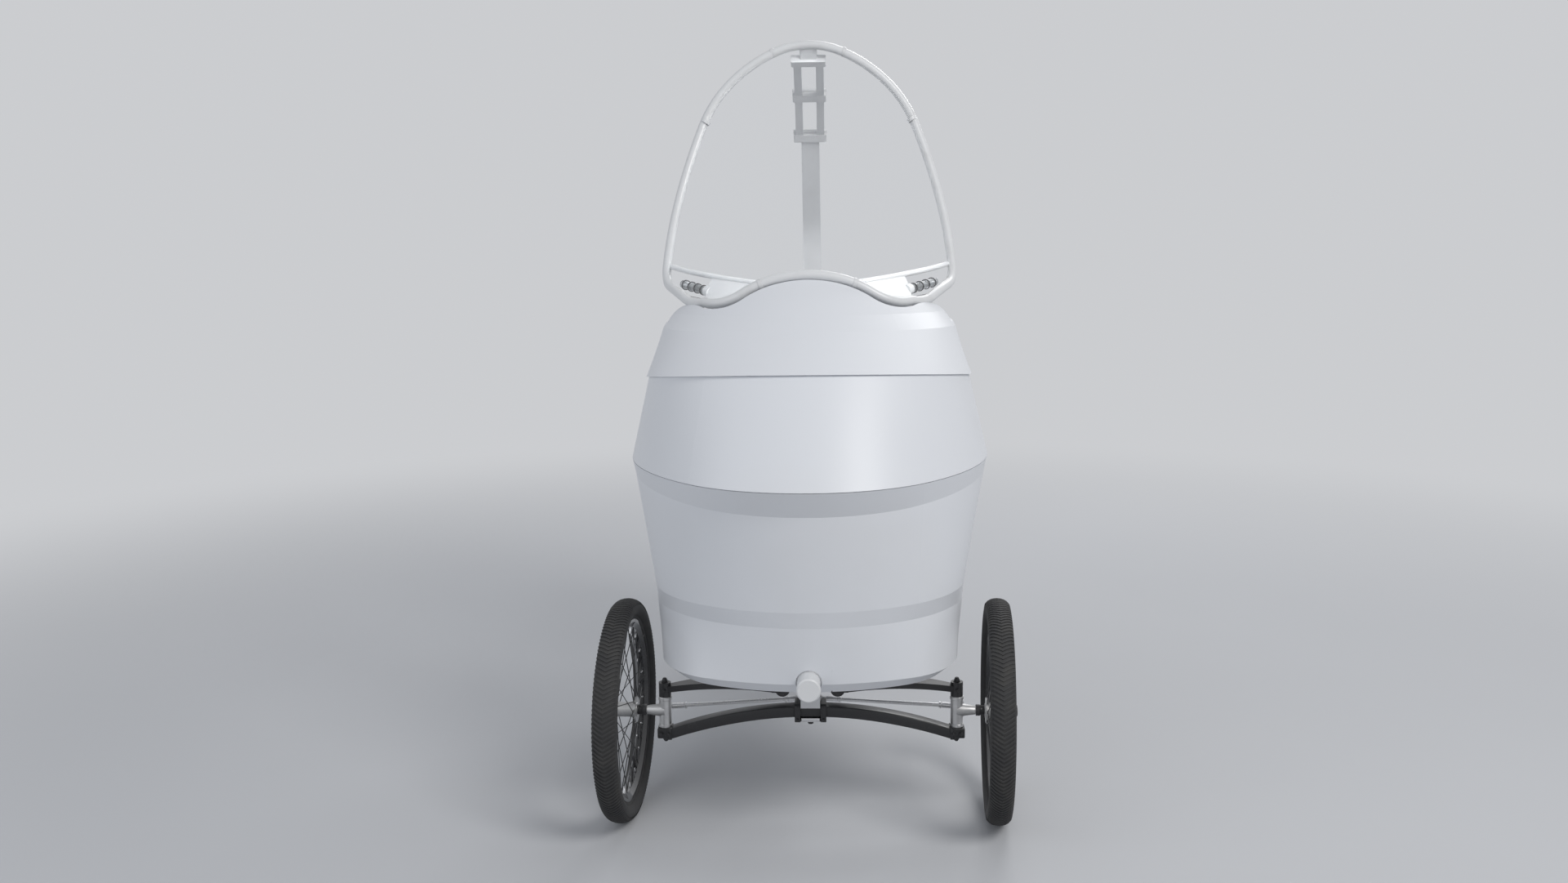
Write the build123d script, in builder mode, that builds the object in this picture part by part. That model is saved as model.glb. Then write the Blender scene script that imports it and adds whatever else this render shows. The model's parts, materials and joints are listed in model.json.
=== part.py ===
from build123d import *
from math import asin, cos, degrees, hypot, radians, sin, sqrt, tan
import os

os.makedirs("parts", exist_ok=True)

# Electric tricycle with two steered front wheels and one rear wheel.
# Millimetres, +Z up. The nose points to -Y, and +X is the rider's left.
# The origin lies on the floor below the middle of the whole tricycle.
# Places along the tricycle are given from the front axle, and along() moves them.

# Whole vehicle
WHEELBASE = 1250.0
TRACK = 850.0
NOSE_REACH = 302.0
STEER_REST = -3.4
FIT = 0.3

# Wheels
TYRE_R = 254.0
TYRE_W = 50.0
TYRE_H = 47.0
TREAD_DROP = 7.0
RIM_W = 30.0
RIM_H = 18.0
SPOKE_COUNT = 36
SPOKE_R = 1.1
SPOKE_SIDES = 4
SPOKE_LACE = 55.0
MOTOR_LACE = 18.0
HUB_R = 17.0
HUB_FLANGE_R = 29.0
HUB_FLANGE_T = 3.0
HUB_HALF = 28.0
MOTOR_R = 68.0
MOTOR_FLANGE_R = 76.0
MOTOR_HALF = 36.0
AXLE_R = 8.0

# Front axle and steering
KINGPIN_X = 333.0
KINGPIN_R = 6.0
KNUCKLE_R = 14.0
KNUCKLE_LOW = 215.3
KNUCKLE_HIGH = 287.7
COLLAR_R = 16.0
COLLAR_TIP_R = 10.0
COLLAR_L = 42.0
AXLE_NUT_R = 11.0
AXLE_NUT_L = 17.0
NUT_SIDES = 6
REAR_NUT_T = 9.0
AXLE_STUB = 20.0
SPRING_T_MIDDLE = 35.0
SPRING_T_END = 25.0
SPRING_ARCH = 53.0
SPRING_W = 36.0
UPPER_ARM_T = 14.0
UPPER_ARM_LOW = 288.0
UPPER_EYE_T = 33.0
UPPER_PIVOT_X = 62.0
UPPER_PIVOT_Z = 318.0
UPPER_PIVOT_R = 10.0
UPPER_SPAN = 56.0
STEER_ARM = 65.0
STEER_ARM_X = 14.0
STEER_ARM_Z = 226.0
STEER_ARM_T = 8.0
ROD_R = 4.5
ROD_EYE_R = 9.0
ROD_PIN_R = 4.0
ROD_EYE_T = 10.0
COLUMN_Y = 60.0
COLUMN_R = 12.0
COLUMN_TOP = 850.0
HEAD_R = 19.0
HEAD_LOW = 300.0
HEAD_HIGH = 460.0
BAR_R = 11.1
BAR_HALF = 90.0
BAR_SIDE = 245.0
BAR_SWEEP = 150.0
BAR_BEND_R = 44.0
GRIP_R = 16.0
GRIP_L = 110.0

# Frame
TUBE_R = 25.0
TUBE_Z = 390.0
TUBE_FRONT = -268.0
TUBE_REAR = 925.0
CAP_T = 6.0
CAP_R = 26.0
BRACKET_W = 44.0
BRACKET_L = 60.0
CLAMP_W = 30.0
CLAMP_WALL = 10.0
CLAMP_PLATE_T = 4.0
SPRING_SAG = 2.0
YOKE_R = 14.0
STAY_X = 78.0
STAY_R = 10.0
STAY_Z = 402.0
DROPOUT_T = 8.0
DROPOUT_R = 22.0

# Drive
CRANK_Y = 370.0
CRANK_Z = 420.0
CRANK_L = 155.0
CRANK_T = 14.0
CRANK_X = 76.0
CRANK_EYE_R = 13.0
SHELL_R = 20.0
SHELL_HALF = 34.0
SPINDLE_R = 9.0
CHAIN_X = -53.0
CHAIN_W = 7.0
CHAIN_T = 8.0
CHAINRING_R = 78.0
CHAINRING_T = 3.0
SPROCKET_R = 34.0
SPROCKET_HUB_R = 20.0
RING_WINDOWS = 4
RING_WINDOW_R = 46.0
RING_WINDOW_W = 26.0
RING_WINDOW_A = 46.0
PEDAL_PIN_R = 5.0
PEDAL_W = 86.0
PEDAL_L = 70.0
PEDAL_T = 18.0
PEDAL_GAP = 3.0
PEDAL_CORNER = 8.0
PEDAL_RIM = 10.0
PEDAL_BAR_T = 4.0
PEDAL_PLAY = 2.0

# Body shells
WALL = 4.0
SEAM = 1.5
LIP_OUT = 6.0
TUBE_GAP = 3.0

# Windshield
SHIELD_LEAN = 41.0
SHIELD_R = 405.0
SHIELD_NOSE_Y = 150.0
SHIELD_NOSE_Z = 1237.0
SHIELD_TOP_Z = 1800.0
FRAME_R = 11.0
TUBE_SIDES = 10
PANE_T = 3.0
PANE_INSET = 7.0
SHEET_REACH = 4 * SHIELD_R
DASH_BAR_R = 6.5
DASH_DEPTH = 11.0
DASH_PLATE_T = 3.0
LAMP_R = 9.5
LAMP_RING_R = 11.5
LAMP_RING_T = 4.0
LAMP_RINGS = 4
LAMP_DEPTH = 19.0
LAMP_CUP_R = 13.0
LAMP_CUP_L = 20.0

# Roof spine
RAIL_X = 29.0
RAIL_W = 20.0
RAIL_T = 14.0
BLOCK_W = 90.0
BLOCK_T = 22.0
BLOCK_H = 22.0
BLOCK_CORNER = 4.0
NECK_W = 45.0
BLOCK_PIN_R = 5.5
MAST_W = 50.0
MAST_T = 12.0
MAST_SEAT_L = 60.0

# Seat
SEAT_W = 380.0
SEAT_FRONT = 590.0
SEAT_REAR = 880.0
SEAT_Z = 505.0
SEAT_PAN_T = 12.0
CUSHION_T = 60.0
BACK_LEAN = 14.0
BACK_L = 480.0
SEAT_BEND_R = 60.0
CUSHION_CORNER = 40.0
CUSHION_FRONT_GAP = 10.0
CUSHION_REAR_GAP = 50.0
BACK_CUSHION_UP = 80.0
BACK_CUSHION_TOP_GAP = 10.0
BACK_CUSHION_CORNER = 20.0

# Battery box and seat posts
BATTERY_Y = 790.0
BATTERY_LOW = 442.0
BATTERY_W = 180.0
BATTERY_L = 200.0
BATTERY_CORNER = 12.0
POST_FRONT_Y = 640.0
POST_W = 40.0
POST_L = 30.0

FRONT_Y = -(WHEELBASE + TYRE_R - NOSE_REACH) / 2
REAR_Y = FRONT_Y + WHEELBASE
SIDES = (("left", 1), ("right", -1))


def along(y):
    """Y of a place that is given from the front axle."""
    return FRONT_Y + y


def save(builder, name):
    """Label a finished piece and write it."""
    builder.part.label = name
    export_step(builder.part, "parts/" + name + ".step")


def turned(x, y):
    """A step from a steering pivot, turned with the wheels as they rest."""
    a = radians(STEER_REST)
    return Vector(x * cos(a) - y * sin(a), x * sin(a) + y * cos(a), 0)


def rod(start, end, radius, sides=0):
    """Round bar, or one with a few flat sides, from start to end."""
    run = Vector(*end) - Vector(*start)
    with BuildPart() as bar:
        with BuildSketch(Plane(start, z_dir=run)):
            if sides:
                RegularPolygon(radius, sides)
            else:
                Circle(radius)
        extrude(amount=run.length)
    return bar.part


# Wheels, made once about the X axis and then placed
BEAD_R = TYRE_R - TYRE_H
RIM_R = BEAD_R - FIT
RIM_LOW_R = RIM_R - RIM_H
SHOULDER_R = TYRE_R - TREAD_DROP
SHOULDER_X = TYRE_W * 0.36
CROWN_X = SHOULDER_X / 3
WALL_R = (BEAD_R + TYRE_R) / 2

with BuildPart() as tyre_master:
    with BuildSketch(Plane.XZ):
        Polygon(
            (-RIM_W / 2, BEAD_R),
            (-TYRE_W / 2, WALL_R - TREAD_DROP / 2),
            (-TYRE_W / 2, WALL_R + TREAD_DROP),
            (-SHOULDER_X, SHOULDER_R),
            (-CROWN_X, TYRE_R),
            (CROWN_X, TYRE_R),
            (SHOULDER_X, SHOULDER_R),
            (TYRE_W / 2, WALL_R + TREAD_DROP),
            (TYRE_W / 2, WALL_R - TREAD_DROP / 2),
            (RIM_W / 2, BEAD_R),
            align=None,
        )
    revolve(axis=Axis.X)

RIM_LIP = 7.0
RIM_FLOOR_W = 14.0
with BuildPart() as rim_master:
    with BuildSketch(Plane.XZ):
        Polygon(
            (-RIM_W / 2, RIM_R),
            (-RIM_W / 2, RIM_R - RIM_LIP),
            (-RIM_FLOOR_W / 2, RIM_LOW_R),
            (RIM_FLOOR_W / 2, RIM_LOW_R),
            (RIM_W / 2, RIM_R - RIM_LIP),
            (RIM_W / 2, RIM_R),
            align=None,
        )
    revolve(axis=Axis.X)


def lace(flange_x, flange_r, lead):
    """Crossed spokes from two hub flanges to the rim."""
    rim_x = RIM_FLOOR_W / 4
    step = 360 / SPOKE_COUNT
    spokes = []
    for i in range(SPOKE_COUNT):
        side = 1 if i % 2 else -1
        turn = lead if (i // 2) % 2 else -lead
        rim_a = radians(i * step)
        hub_a = radians(i * step + turn)
        rim_r = RIM_LOW_R - FIT
        start = (side * flange_x, flange_r * cos(hub_a), flange_r * sin(hub_a))
        end = (side * rim_x, rim_r * cos(rim_a), rim_r * sin(rim_a))
        spokes.append(rod(start, end, SPOKE_R, SPOKE_SIDES))
    return spokes


FLANGE_X = HUB_HALF - HUB_FLANGE_T
with BuildPart() as hub_master:
    with BuildSketch(Plane.YZ.offset(-HUB_HALF)):
        Circle(HUB_R)
    extrude(amount=2 * HUB_HALF)
    for side in (-1, 1):
        with BuildSketch(Plane.YZ.offset(side * FLANGE_X - HUB_FLANGE_T / 2)):
            Circle(HUB_FLANGE_R)
        extrude(amount=HUB_FLANGE_T)
    add(lace(FLANGE_X, HUB_FLANGE_R - 2 * HUB_FLANGE_T, SPOKE_LACE))
    with BuildSketch(Plane.YZ.offset(-HUB_HALF)):
        Circle(AXLE_R + FIT)
    extrude(amount=2 * HUB_HALF, mode=Mode.SUBTRACT)

MOTOR_FLANGE_X = MOTOR_HALF * 0.45
with BuildPart() as motor_master:
    with BuildSketch(Plane.XZ):
        Polygon(
            (-MOTOR_HALF, 0),
            (-MOTOR_HALF, SPROCKET_R / 2),
            (-MOTOR_FLANGE_X, MOTOR_R),
            (-MOTOR_FLANGE_X, MOTOR_FLANGE_R),
            (MOTOR_FLANGE_X, MOTOR_FLANGE_R),
            (MOTOR_FLANGE_X, MOTOR_R),
            (MOTOR_HALF, SPROCKET_R / 2),
            (MOTOR_HALF, 0),
            align=None,
        )
    revolve(axis=Axis.X)
    add(lace(MOTOR_FLANGE_X - HUB_FLANGE_T, MOTOR_FLANGE_R - HUB_FLANGE_T, MOTOR_LACE))
    SPROCKET_START = CHAIN_X - CHAINRING_T / 2
    with BuildSketch(Plane.YZ.offset(SPROCKET_START)):
        Circle(SPROCKET_R)
    extrude(amount=CHAINRING_T)
    with BuildSketch(Plane.YZ.offset(SPROCKET_START)):
        Circle(SPROCKET_HUB_R)
    extrude(amount=-SPROCKET_START)
    with BuildSketch(Plane.YZ.offset(SPROCKET_START - FIT)):
        Circle(AXLE_R + FIT)
    extrude(amount=2 * MOTOR_HALF + STAY_X, mode=Mode.SUBTRACT)

WHEEL_OUT = TRACK / 2 - KINGPIN_X
WHEEL_PLACES = []
for side_name, side in SIDES:
    centre = Vector(side * KINGPIN_X, FRONT_Y, TYRE_R) + turned(side * WHEEL_OUT, 0)
    turn = STEER_REST if side > 0 else STEER_REST + 180
    WHEEL_PLACES.append(("front_" + side_name, Location(centre, (0, 0, turn)), hub_master))
WHEEL_PLACES.append(("rear", Location((0, REAR_Y, TYRE_R)), motor_master))

for place_name, place, hub_source in WHEEL_PLACES:
    for piece_name, source in (("tyre", tyre_master), ("rim", rim_master), ("hub", hub_source)):
        with BuildPart() as wheel_piece:
            add(source.part.moved(place))
        save(wheel_piece, piece_name + "_" + place_name)

# Knuckles: kingpin tube, tapered collar, axle with its nut, and the steering arm
ROD_Z = STEER_ARM_Z + STEER_ARM_T + FIT
PIN_TOP = UPPER_ARM_LOW + UPPER_EYE_T
SPRING_END_LOW = KNUCKLE_LOW - FIT - SPRING_T_END
for side_name, side in SIDES:
    pivot = Vector(side * KINGPIN_X, FRONT_Y, 0)
    arm_end = pivot + turned(side * STEER_ARM_X, STEER_ARM)
    outward = turned(side, 0)
    with BuildPart() as knuckle:
        with BuildSketch(Plane((pivot.X, pivot.Y, KNUCKLE_LOW))):
            Circle(KNUCKLE_R)
        extrude(amount=KNUCKLE_HIGH - KNUCKLE_LOW)
        with BuildSketch(Plane((pivot.X, pivot.Y, SPRING_END_LOW))):
            Circle(KINGPIN_R)
        extrude(amount=PIN_TOP - SPRING_END_LOW)
        axle_plane = Plane((pivot.X, pivot.Y, TYRE_R), z_dir=outward)
        with BuildSketch(axle_plane):
            Circle(AXLE_R)
        extrude(amount=WHEEL_OUT + HUB_HALF + AXLE_NUT_L)
        with BuildSketch(axle_plane):
            Circle(COLLAR_R)
        with BuildSketch(axle_plane.offset(COLLAR_L)):
            Circle(COLLAR_TIP_R)
        loft()
        with BuildSketch(axle_plane.offset(WHEEL_OUT + HUB_HALF + FIT)):
            RegularPolygon(AXLE_NUT_R, 2 * NUT_SIDES)
        extrude(amount=AXLE_NUT_L - FIT)
        with BuildSketch(Plane((pivot.X, pivot.Y, STEER_ARM_Z))):
            with BuildLine():
                Line((0, 0), (arm_end.X - pivot.X, arm_end.Y - pivot.Y))
            trace(line_width=2 * ROD_EYE_R)
        extrude(amount=STEER_ARM_T)
        with BuildSketch(Plane((arm_end.X, arm_end.Y, STEER_ARM_Z))):
            Circle(ROD_EYE_R)
        extrude(amount=STEER_ARM_T)
        with BuildSketch(Plane((arm_end.X, arm_end.Y, STEER_ARM_Z))):
            Circle(ROD_PIN_R)
        extrude(amount=STEER_ARM_T + 2 * FIT + ROD_EYE_T)
    save(knuckle, "knuckle_" + side_name)

    crank_pivot = Vector(0, along(COLUMN_Y), 0)
    rod_start = crank_pivot + turned(side * STEER_ARM_X, STEER_ARM)
    rod_z = ROD_Z + ROD_EYE_T / 2
    with BuildPart() as tie_rod:
        add(rod((rod_start.X, rod_start.Y, rod_z), (arm_end.X, arm_end.Y, rod_z), ROD_R))
        for eye in (rod_start, arm_end):
            with BuildSketch(Plane((eye.X, eye.Y, ROD_Z))):
                Circle(ROD_EYE_R)
            extrude(amount=ROD_EYE_T)
        for eye in (rod_start, arm_end):
            with BuildSketch(Plane((eye.X, eye.Y, ROD_Z))):
                Circle(ROD_PIN_R + FIT)
            extrude(amount=ROD_EYE_T, mode=Mode.SUBTRACT)
    save(tie_rod, "tie_rod_" + side_name)

# Steering column with its bell crank, handlebar and grips
HANDLE_END = turned(0, BAR_SWEEP)
with BuildPart() as column:
    with BuildSketch(Plane((0, along(COLUMN_Y), STEER_ARM_Z))):
        Circle(COLUMN_R)
    extrude(amount=COLUMN_TOP - STEER_ARM_Z)
    crank_plane = Plane(
        (0, along(COLUMN_Y), STEER_ARM_Z), x_dir=(turned(1, 0).X, turned(1, 0).Y, 0), z_dir=(0, 0, 1)
    )
    crank_w = STEER_ARM_X + ROD_EYE_R
    with BuildSketch(crank_plane):
        with Locations((0, STEER_ARM / 2)):
            RectangleRounded(2 * crank_w, STEER_ARM + 2 * ROD_EYE_R, ROD_EYE_R - 1)
    extrude(amount=STEER_ARM_T)
    for side_name, side in SIDES:
        pin = turned(side * STEER_ARM_X, STEER_ARM)
        with BuildSketch(Plane((pin.X, along(COLUMN_Y) + pin.Y, STEER_ARM_Z + STEER_ARM_T))):
            Circle(ROD_PIN_R)
        extrude(amount=2 * FIT + ROD_EYE_T)
    bar_z = COLUMN_TOP - 2 * BAR_R
    bar_points = []
    for x, y in ((-1, 1), (-1, 0), (1, 0), (1, 1)):
        reach = BAR_SIDE if y else BAR_HALF
        step = turned(x * reach, y * BAR_SWEEP)
        bar_points.append((step.X, along(COLUMN_Y) + step.Y, bar_z))
    with BuildLine() as bar_line:
        FilletPolyline(*bar_points, radius=BAR_BEND_R)
    with BuildSketch(Plane(bar_line.line @ 0, z_dir=bar_line.line % 0)):
        Circle(BAR_R)
    sweep(path=bar_line.line)
save(column, "steering_column")

with BuildPart() as grips:
    for end_i, near_i in ((0, 1), (-1, -2)):
        end = Vector(*bar_points[end_i])
        run = (Vector(*bar_points[near_i]) - end).normalized()
        with BuildSketch(Plane(end, z_dir=run)):
            Circle(GRIP_R)
            Circle(BAR_R + FIT, mode=Mode.SUBTRACT)
        extrude(amount=GRIP_L)
save(grips, "grips")

# Main tube with the sleeve of the steering column and the crank shell
with BuildPart() as main_tube:
    with BuildSketch(Plane((0, along(TUBE_FRONT + CAP_T), TUBE_Z), z_dir=(0, 1, 0))):
        Circle(TUBE_R)
    extrude(amount=TUBE_REAR - TUBE_FRONT - CAP_T)
    with BuildSketch(Plane((0, along(COLUMN_Y), HEAD_LOW))):
        Circle(HEAD_R)
    extrude(amount=HEAD_HIGH - HEAD_LOW)
    with BuildSketch(Plane((-SHELL_HALF, along(CRANK_Y), CRANK_Z), z_dir=(1, 0, 0))):
        Circle(SHELL_R)
    extrude(amount=2 * SHELL_HALF)
    with BuildSketch(Plane((0, along(COLUMN_Y), HEAD_LOW))):
        Circle(COLUMN_R + FIT)
    extrude(amount=HEAD_HIGH - HEAD_LOW, mode=Mode.SUBTRACT)
    with BuildSketch(Plane((-SHELL_HALF, along(CRANK_Y), CRANK_Z), z_dir=(1, 0, 0))):
        Circle(SPINDLE_R + FIT)
    extrude(amount=2 * SHELL_HALF, mode=Mode.SUBTRACT)
save(main_tube, "main_tube")

with BuildPart() as nose_cap:
    with BuildSketch(Plane((0, along(TUBE_FRONT), TUBE_Z), z_dir=(0, 1, 0))):
        Circle(CAP_R)
    extrude(amount=CAP_T)
    chamfer(nose_cap.edges().group_by(Axis.Y)[0], CAP_T / 2)
save(nose_cap, "nose_cap")

# Lower leaf spring: an arched bar with an eye at each kingpin
SPRING_MID_TOP = SPRING_END_LOW + SPRING_T_END + SPRING_ARCH
SPRING_MID_LOW = SPRING_MID_TOP - SPRING_T_MIDDLE
SPRING_END_X = KINGPIN_X + SPRING_W / 2
SPRING_ARC_X = KINGPIN_X - SPRING_W / 2
SPRING_END_TOP = SPRING_END_LOW + SPRING_T_END
with BuildPart() as leaf:
    with BuildSketch(Plane.XZ.offset(-along(0) - SPRING_W / 2)):
        with BuildLine():
            ThreePointArc(
                (-SPRING_ARC_X, SPRING_END_TOP),
                (0, SPRING_MID_TOP),
                (SPRING_ARC_X, SPRING_END_TOP),
            )
            Polyline(
                (SPRING_ARC_X, SPRING_END_TOP),
                (SPRING_END_X, SPRING_END_TOP),
                (SPRING_END_X, SPRING_END_LOW),
                (SPRING_ARC_X, SPRING_END_LOW),
            )
            ThreePointArc(
                (SPRING_ARC_X, SPRING_END_LOW),
                (0, SPRING_MID_LOW),
                (-SPRING_ARC_X, SPRING_END_LOW),
            )
            Polyline(
                (-SPRING_ARC_X, SPRING_END_LOW),
                (-SPRING_END_X, SPRING_END_LOW),
                (-SPRING_END_X, SPRING_END_TOP),
                (-SPRING_ARC_X, SPRING_END_TOP),
            )
        make_face()
    extrude(amount=SPRING_W)
    for side_name, side in SIDES:
        with BuildSketch(Plane((side * KINGPIN_X, along(0), SPRING_END_LOW))):
            Circle(KINGPIN_R + FIT)
        extrude(amount=SPRING_T_END + SPRING_ARCH, mode=Mode.SUBTRACT)
save(leaf, "leaf_spring")

# Bracket between the main tube and the leaf spring, with ears for the upper arms
EAR_T = 16.0
with BuildPart() as bracket:
    with BuildSketch(Plane((0, along(0), SPRING_MID_TOP))):
        Rectangle(BRACKET_W, BRACKET_L)
    extrude(amount=TUBE_Z - SPRING_MID_TOP)
    with BuildSketch(Plane((0, along(0), UPPER_PIVOT_Z - EAR_T / 2))):
        Rectangle(2 * (UPPER_PIVOT_X - UPPER_PIVOT_R), BRACKET_L / 2)
    extrude(amount=EAR_T)
    with BuildSketch(Plane((0, along(-BRACKET_L), TUBE_Z), z_dir=(0, 1, 0))):
        Circle(TUBE_R + FIT)
    extrude(amount=2 * BRACKET_L, mode=Mode.SUBTRACT)
    with BuildSketch(Plane((0, along(COLUMN_Y), HEAD_LOW - EAR_T))):
        Circle(HEAD_R + FIT)
    extrude(amount=HEAD_HIGH, mode=Mode.SUBTRACT)
bracket_body = bracket.part.solids().sort_by(Axis.Z)[0]
with BuildPart() as nose_bracket:
    add(bracket_body)
save(nose_bracket, "nose_bracket")

# Clamps that hold the leaf spring on both sides of the bracket, and the plate under it
CLAMP_LOW = SPRING_MID_LOW - CLAMP_WALL
with BuildPart() as clamps:
    for side_name, side in SIDES:
        clamp_x = side * (BRACKET_W / 2 + FIT + CLAMP_W / 2)
        with BuildSketch(Plane((clamp_x, along(0), CLAMP_LOW - CLAMP_PLATE_T))):
            Rectangle(CLAMP_W, SPRING_W + 2 * CLAMP_WALL)
        extrude(amount=SPRING_T_MIDDLE + 2 * CLAMP_WALL + CLAMP_PLATE_T)
    with BuildSketch(Plane((0, along(0), CLAMP_LOW - CLAMP_PLATE_T))):
        Rectangle(BRACKET_W + 2 * FIT, SPRING_W / 2)
    extrude(amount=CLAMP_WALL)
    with BuildSketch(Plane((0, along(-SPRING_W / 2 - FIT), 0), x_dir=(1, 0, 0), z_dir=(0, 1, 0))):
        with Locations((0, -(SPRING_MID_TOP + SPRING_MID_LOW) / 2)):
            Rectangle(TRACK, SPRING_T_MIDDLE + 2 * FIT + SPRING_SAG)
    extrude(amount=SPRING_W + 2 * FIT, mode=Mode.SUBTRACT)
save(clamps, "spring_clamps")

# Pivot shafts of the upper arms, beside the main tube
with BuildPart() as pivots:
    for side_name, side in SIDES:
        with BuildSketch(
            Plane((side * UPPER_PIVOT_X, along(-UPPER_SPAN), UPPER_PIVOT_Z), z_dir=(0, 1, 0))
        ):
            Circle(UPPER_PIVOT_R)
        extrude(amount=2 * UPPER_SPAN)
save(pivots, "arm_pivots")

# Upper arms: bowed blades with two legs, each leg eye on its pivot shaft
ARM_BOW = 16.0
ARM_FORK_L = 90.0
LEG_W = 22.0
LEG_GAP = 8.0
LEG_Y = UPPER_SPAN - LEG_GAP
EYE_WALL = 6.0
UPPER_MID_Z = UPPER_ARM_LOW + UPPER_EYE_T / 2
for side_name, side in SIDES:
    inner_x = side * (UPPER_PIVOT_X + UPPER_PIVOT_R + FIT + LEG_GAP)
    outer_x = side * KINGPIN_X
    with BuildPart() as arm:
        with BuildSketch(Plane.XZ.offset(-along(UPPER_SPAN))):
            with BuildLine():
                top = ThreePointArc(
                    (inner_x, UPPER_PIVOT_Z + UPPER_ARM_T / 2),
                    ((inner_x + outer_x) / 2, UPPER_MID_Z + ARM_BOW + UPPER_ARM_T / 2),
                    (outer_x, UPPER_MID_Z + UPPER_ARM_T / 2),
                )
                end = Line(top @ 1, (outer_x, UPPER_MID_Z - UPPER_ARM_T / 2))
                low = ThreePointArc(
                    end @ 1,
                    ((inner_x + outer_x) / 2, UPPER_MID_Z + ARM_BOW - UPPER_ARM_T / 2),
                    (inner_x, UPPER_PIVOT_Z - UPPER_ARM_T / 2),
                )
                Line(low @ 1, top @ 0)
            make_face()
        extrude(amount=2 * UPPER_SPAN)
        with BuildSketch(Plane.XY.offset(UPPER_ARM_LOW - ARM_BOW)):
            with Locations((0, along(0))):
                Polygon(
                    (inner_x, LEG_Y),
                    (inner_x, LEG_Y - LEG_W),
                    (inner_x + side * ARM_FORK_L, 0),
                    (inner_x, -(LEG_Y - LEG_W)),
                    (inner_x, -LEG_Y),
                    (outer_x, -LEG_W / 2),
                    (outer_x, LEG_W / 2),
                    align=None,
                )
        extrude(amount=4 * ARM_BOW + UPPER_EYE_T, mode=Mode.INTERSECT)
        for leg in (-1, 1):
            leg_y = leg * (LEG_Y - LEG_W / 2)
            eye = Plane(
                (side * UPPER_PIVOT_X, along(leg_y - LEG_W / 2), UPPER_PIVOT_Z),
                x_dir=(1, 0, 0),
                z_dir=(0, 1, 0),
            )
            with BuildSketch(eye):
                Circle(UPPER_PIVOT_R + FIT + EYE_WALL)
                with Locations((side * (UPPER_PIVOT_R + EYE_WALL), 0)):
                    Rectangle(2 * LEG_GAP, UPPER_ARM_T)
            extrude(amount=LEG_W)
            with BuildSketch(eye):
                Circle(UPPER_PIVOT_R + FIT)
            extrude(amount=LEG_W, mode=Mode.SUBTRACT)
        with BuildSketch(Plane((outer_x, along(0), UPPER_ARM_LOW))):
            Circle(KNUCKLE_R)
        extrude(amount=UPPER_EYE_T)
        with BuildSketch(Plane((outer_x, along(0), UPPER_ARM_LOW))):
            Circle(KINGPIN_R + FIT)
        extrude(amount=UPPER_EYE_T, mode=Mode.SUBTRACT)
    save(arm, "upper_arm_" + side_name)

# Rear fork: a yoke through the main tube's end, two stays and their dropouts
STAY_LEN = hypot(WHEELBASE - TUBE_REAR, STAY_Z - TYRE_R)
with BuildPart() as fork:
    yoke_y = along(TUBE_REAR) + YOKE_R + FIT
    add(rod((-STAY_X, yoke_y, STAY_Z), (STAY_X, yoke_y, STAY_Z), YOKE_R))
    for side_name, side in SIDES:
        add(rod((side * STAY_X, yoke_y, STAY_Z), (side * STAY_X, REAR_Y, TYRE_R), STAY_R))
        with BuildSketch(Plane((side * STAY_X - DROPOUT_T / 2, REAR_Y, TYRE_R), z_dir=(1, 0, 0))):
            Circle(DROPOUT_R)
        extrude(amount=DROPOUT_T)
    axle_half = STAY_X + DROPOUT_T / 2 + REAR_NUT_T + AXLE_STUB
    add(rod((-axle_half, REAR_Y, TYRE_R), (axle_half, REAR_Y, TYRE_R), AXLE_R))
    for side in (-1, 1):
        nut_x = side * (STAY_X + DROPOUT_T / 2)
        nut_end = nut_x + side * REAR_NUT_T
        add(rod((nut_x, REAR_Y, TYRE_R), (nut_end, REAR_Y, TYRE_R), AXLE_NUT_R, NUT_SIDES))
save(fork, "rear_fork")

# Crankset, pedals and chain
with BuildPart() as crankset:
    add(rod((-CRANK_X, along(CRANK_Y), CRANK_Z), (CRANK_X, along(CRANK_Y), CRANK_Z), SPINDLE_R))
    for side_name, side in SIDES:
        arm_x = side * (CRANK_X - CRANK_T / 2) - CRANK_T / 2
        with BuildSketch(Plane((arm_x, along(CRANK_Y), CRANK_Z), x_dir=(0, 1, 0), z_dir=(1, 0, 0))):
            with Locations((side * CRANK_L / 2, 0)):
                SlotCenterToCenter(CRANK_L, 2 * CRANK_EYE_R)
        extrude(amount=CRANK_T)
        pedal_y = along(CRANK_Y) + side * CRANK_L
        add(
            rod(
                (side * CRANK_X, pedal_y, CRANK_Z),
                (side * (CRANK_X + PEDAL_GAP + PEDAL_W), pedal_y, CRANK_Z),
                PEDAL_PIN_R,
            )
        )
    ring = Plane(
        (CHAIN_X - CHAINRING_T / 2, along(CRANK_Y), CRANK_Z), x_dir=(0, 1, 0), z_dir=(1, 0, 0)
    )
    with BuildSketch(ring):
        Circle(CHAINRING_R)
        with PolarLocations(RING_WINDOW_R, RING_WINDOWS):
            SlotArc(
                CenterArc((-RING_WINDOW_R, 0), RING_WINDOW_R, -RING_WINDOW_A / 2, RING_WINDOW_A),
                RING_WINDOW_W,
                mode=Mode.SUBTRACT,
            )
    extrude(amount=CHAINRING_T)
save(crankset, "crankset")

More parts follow.
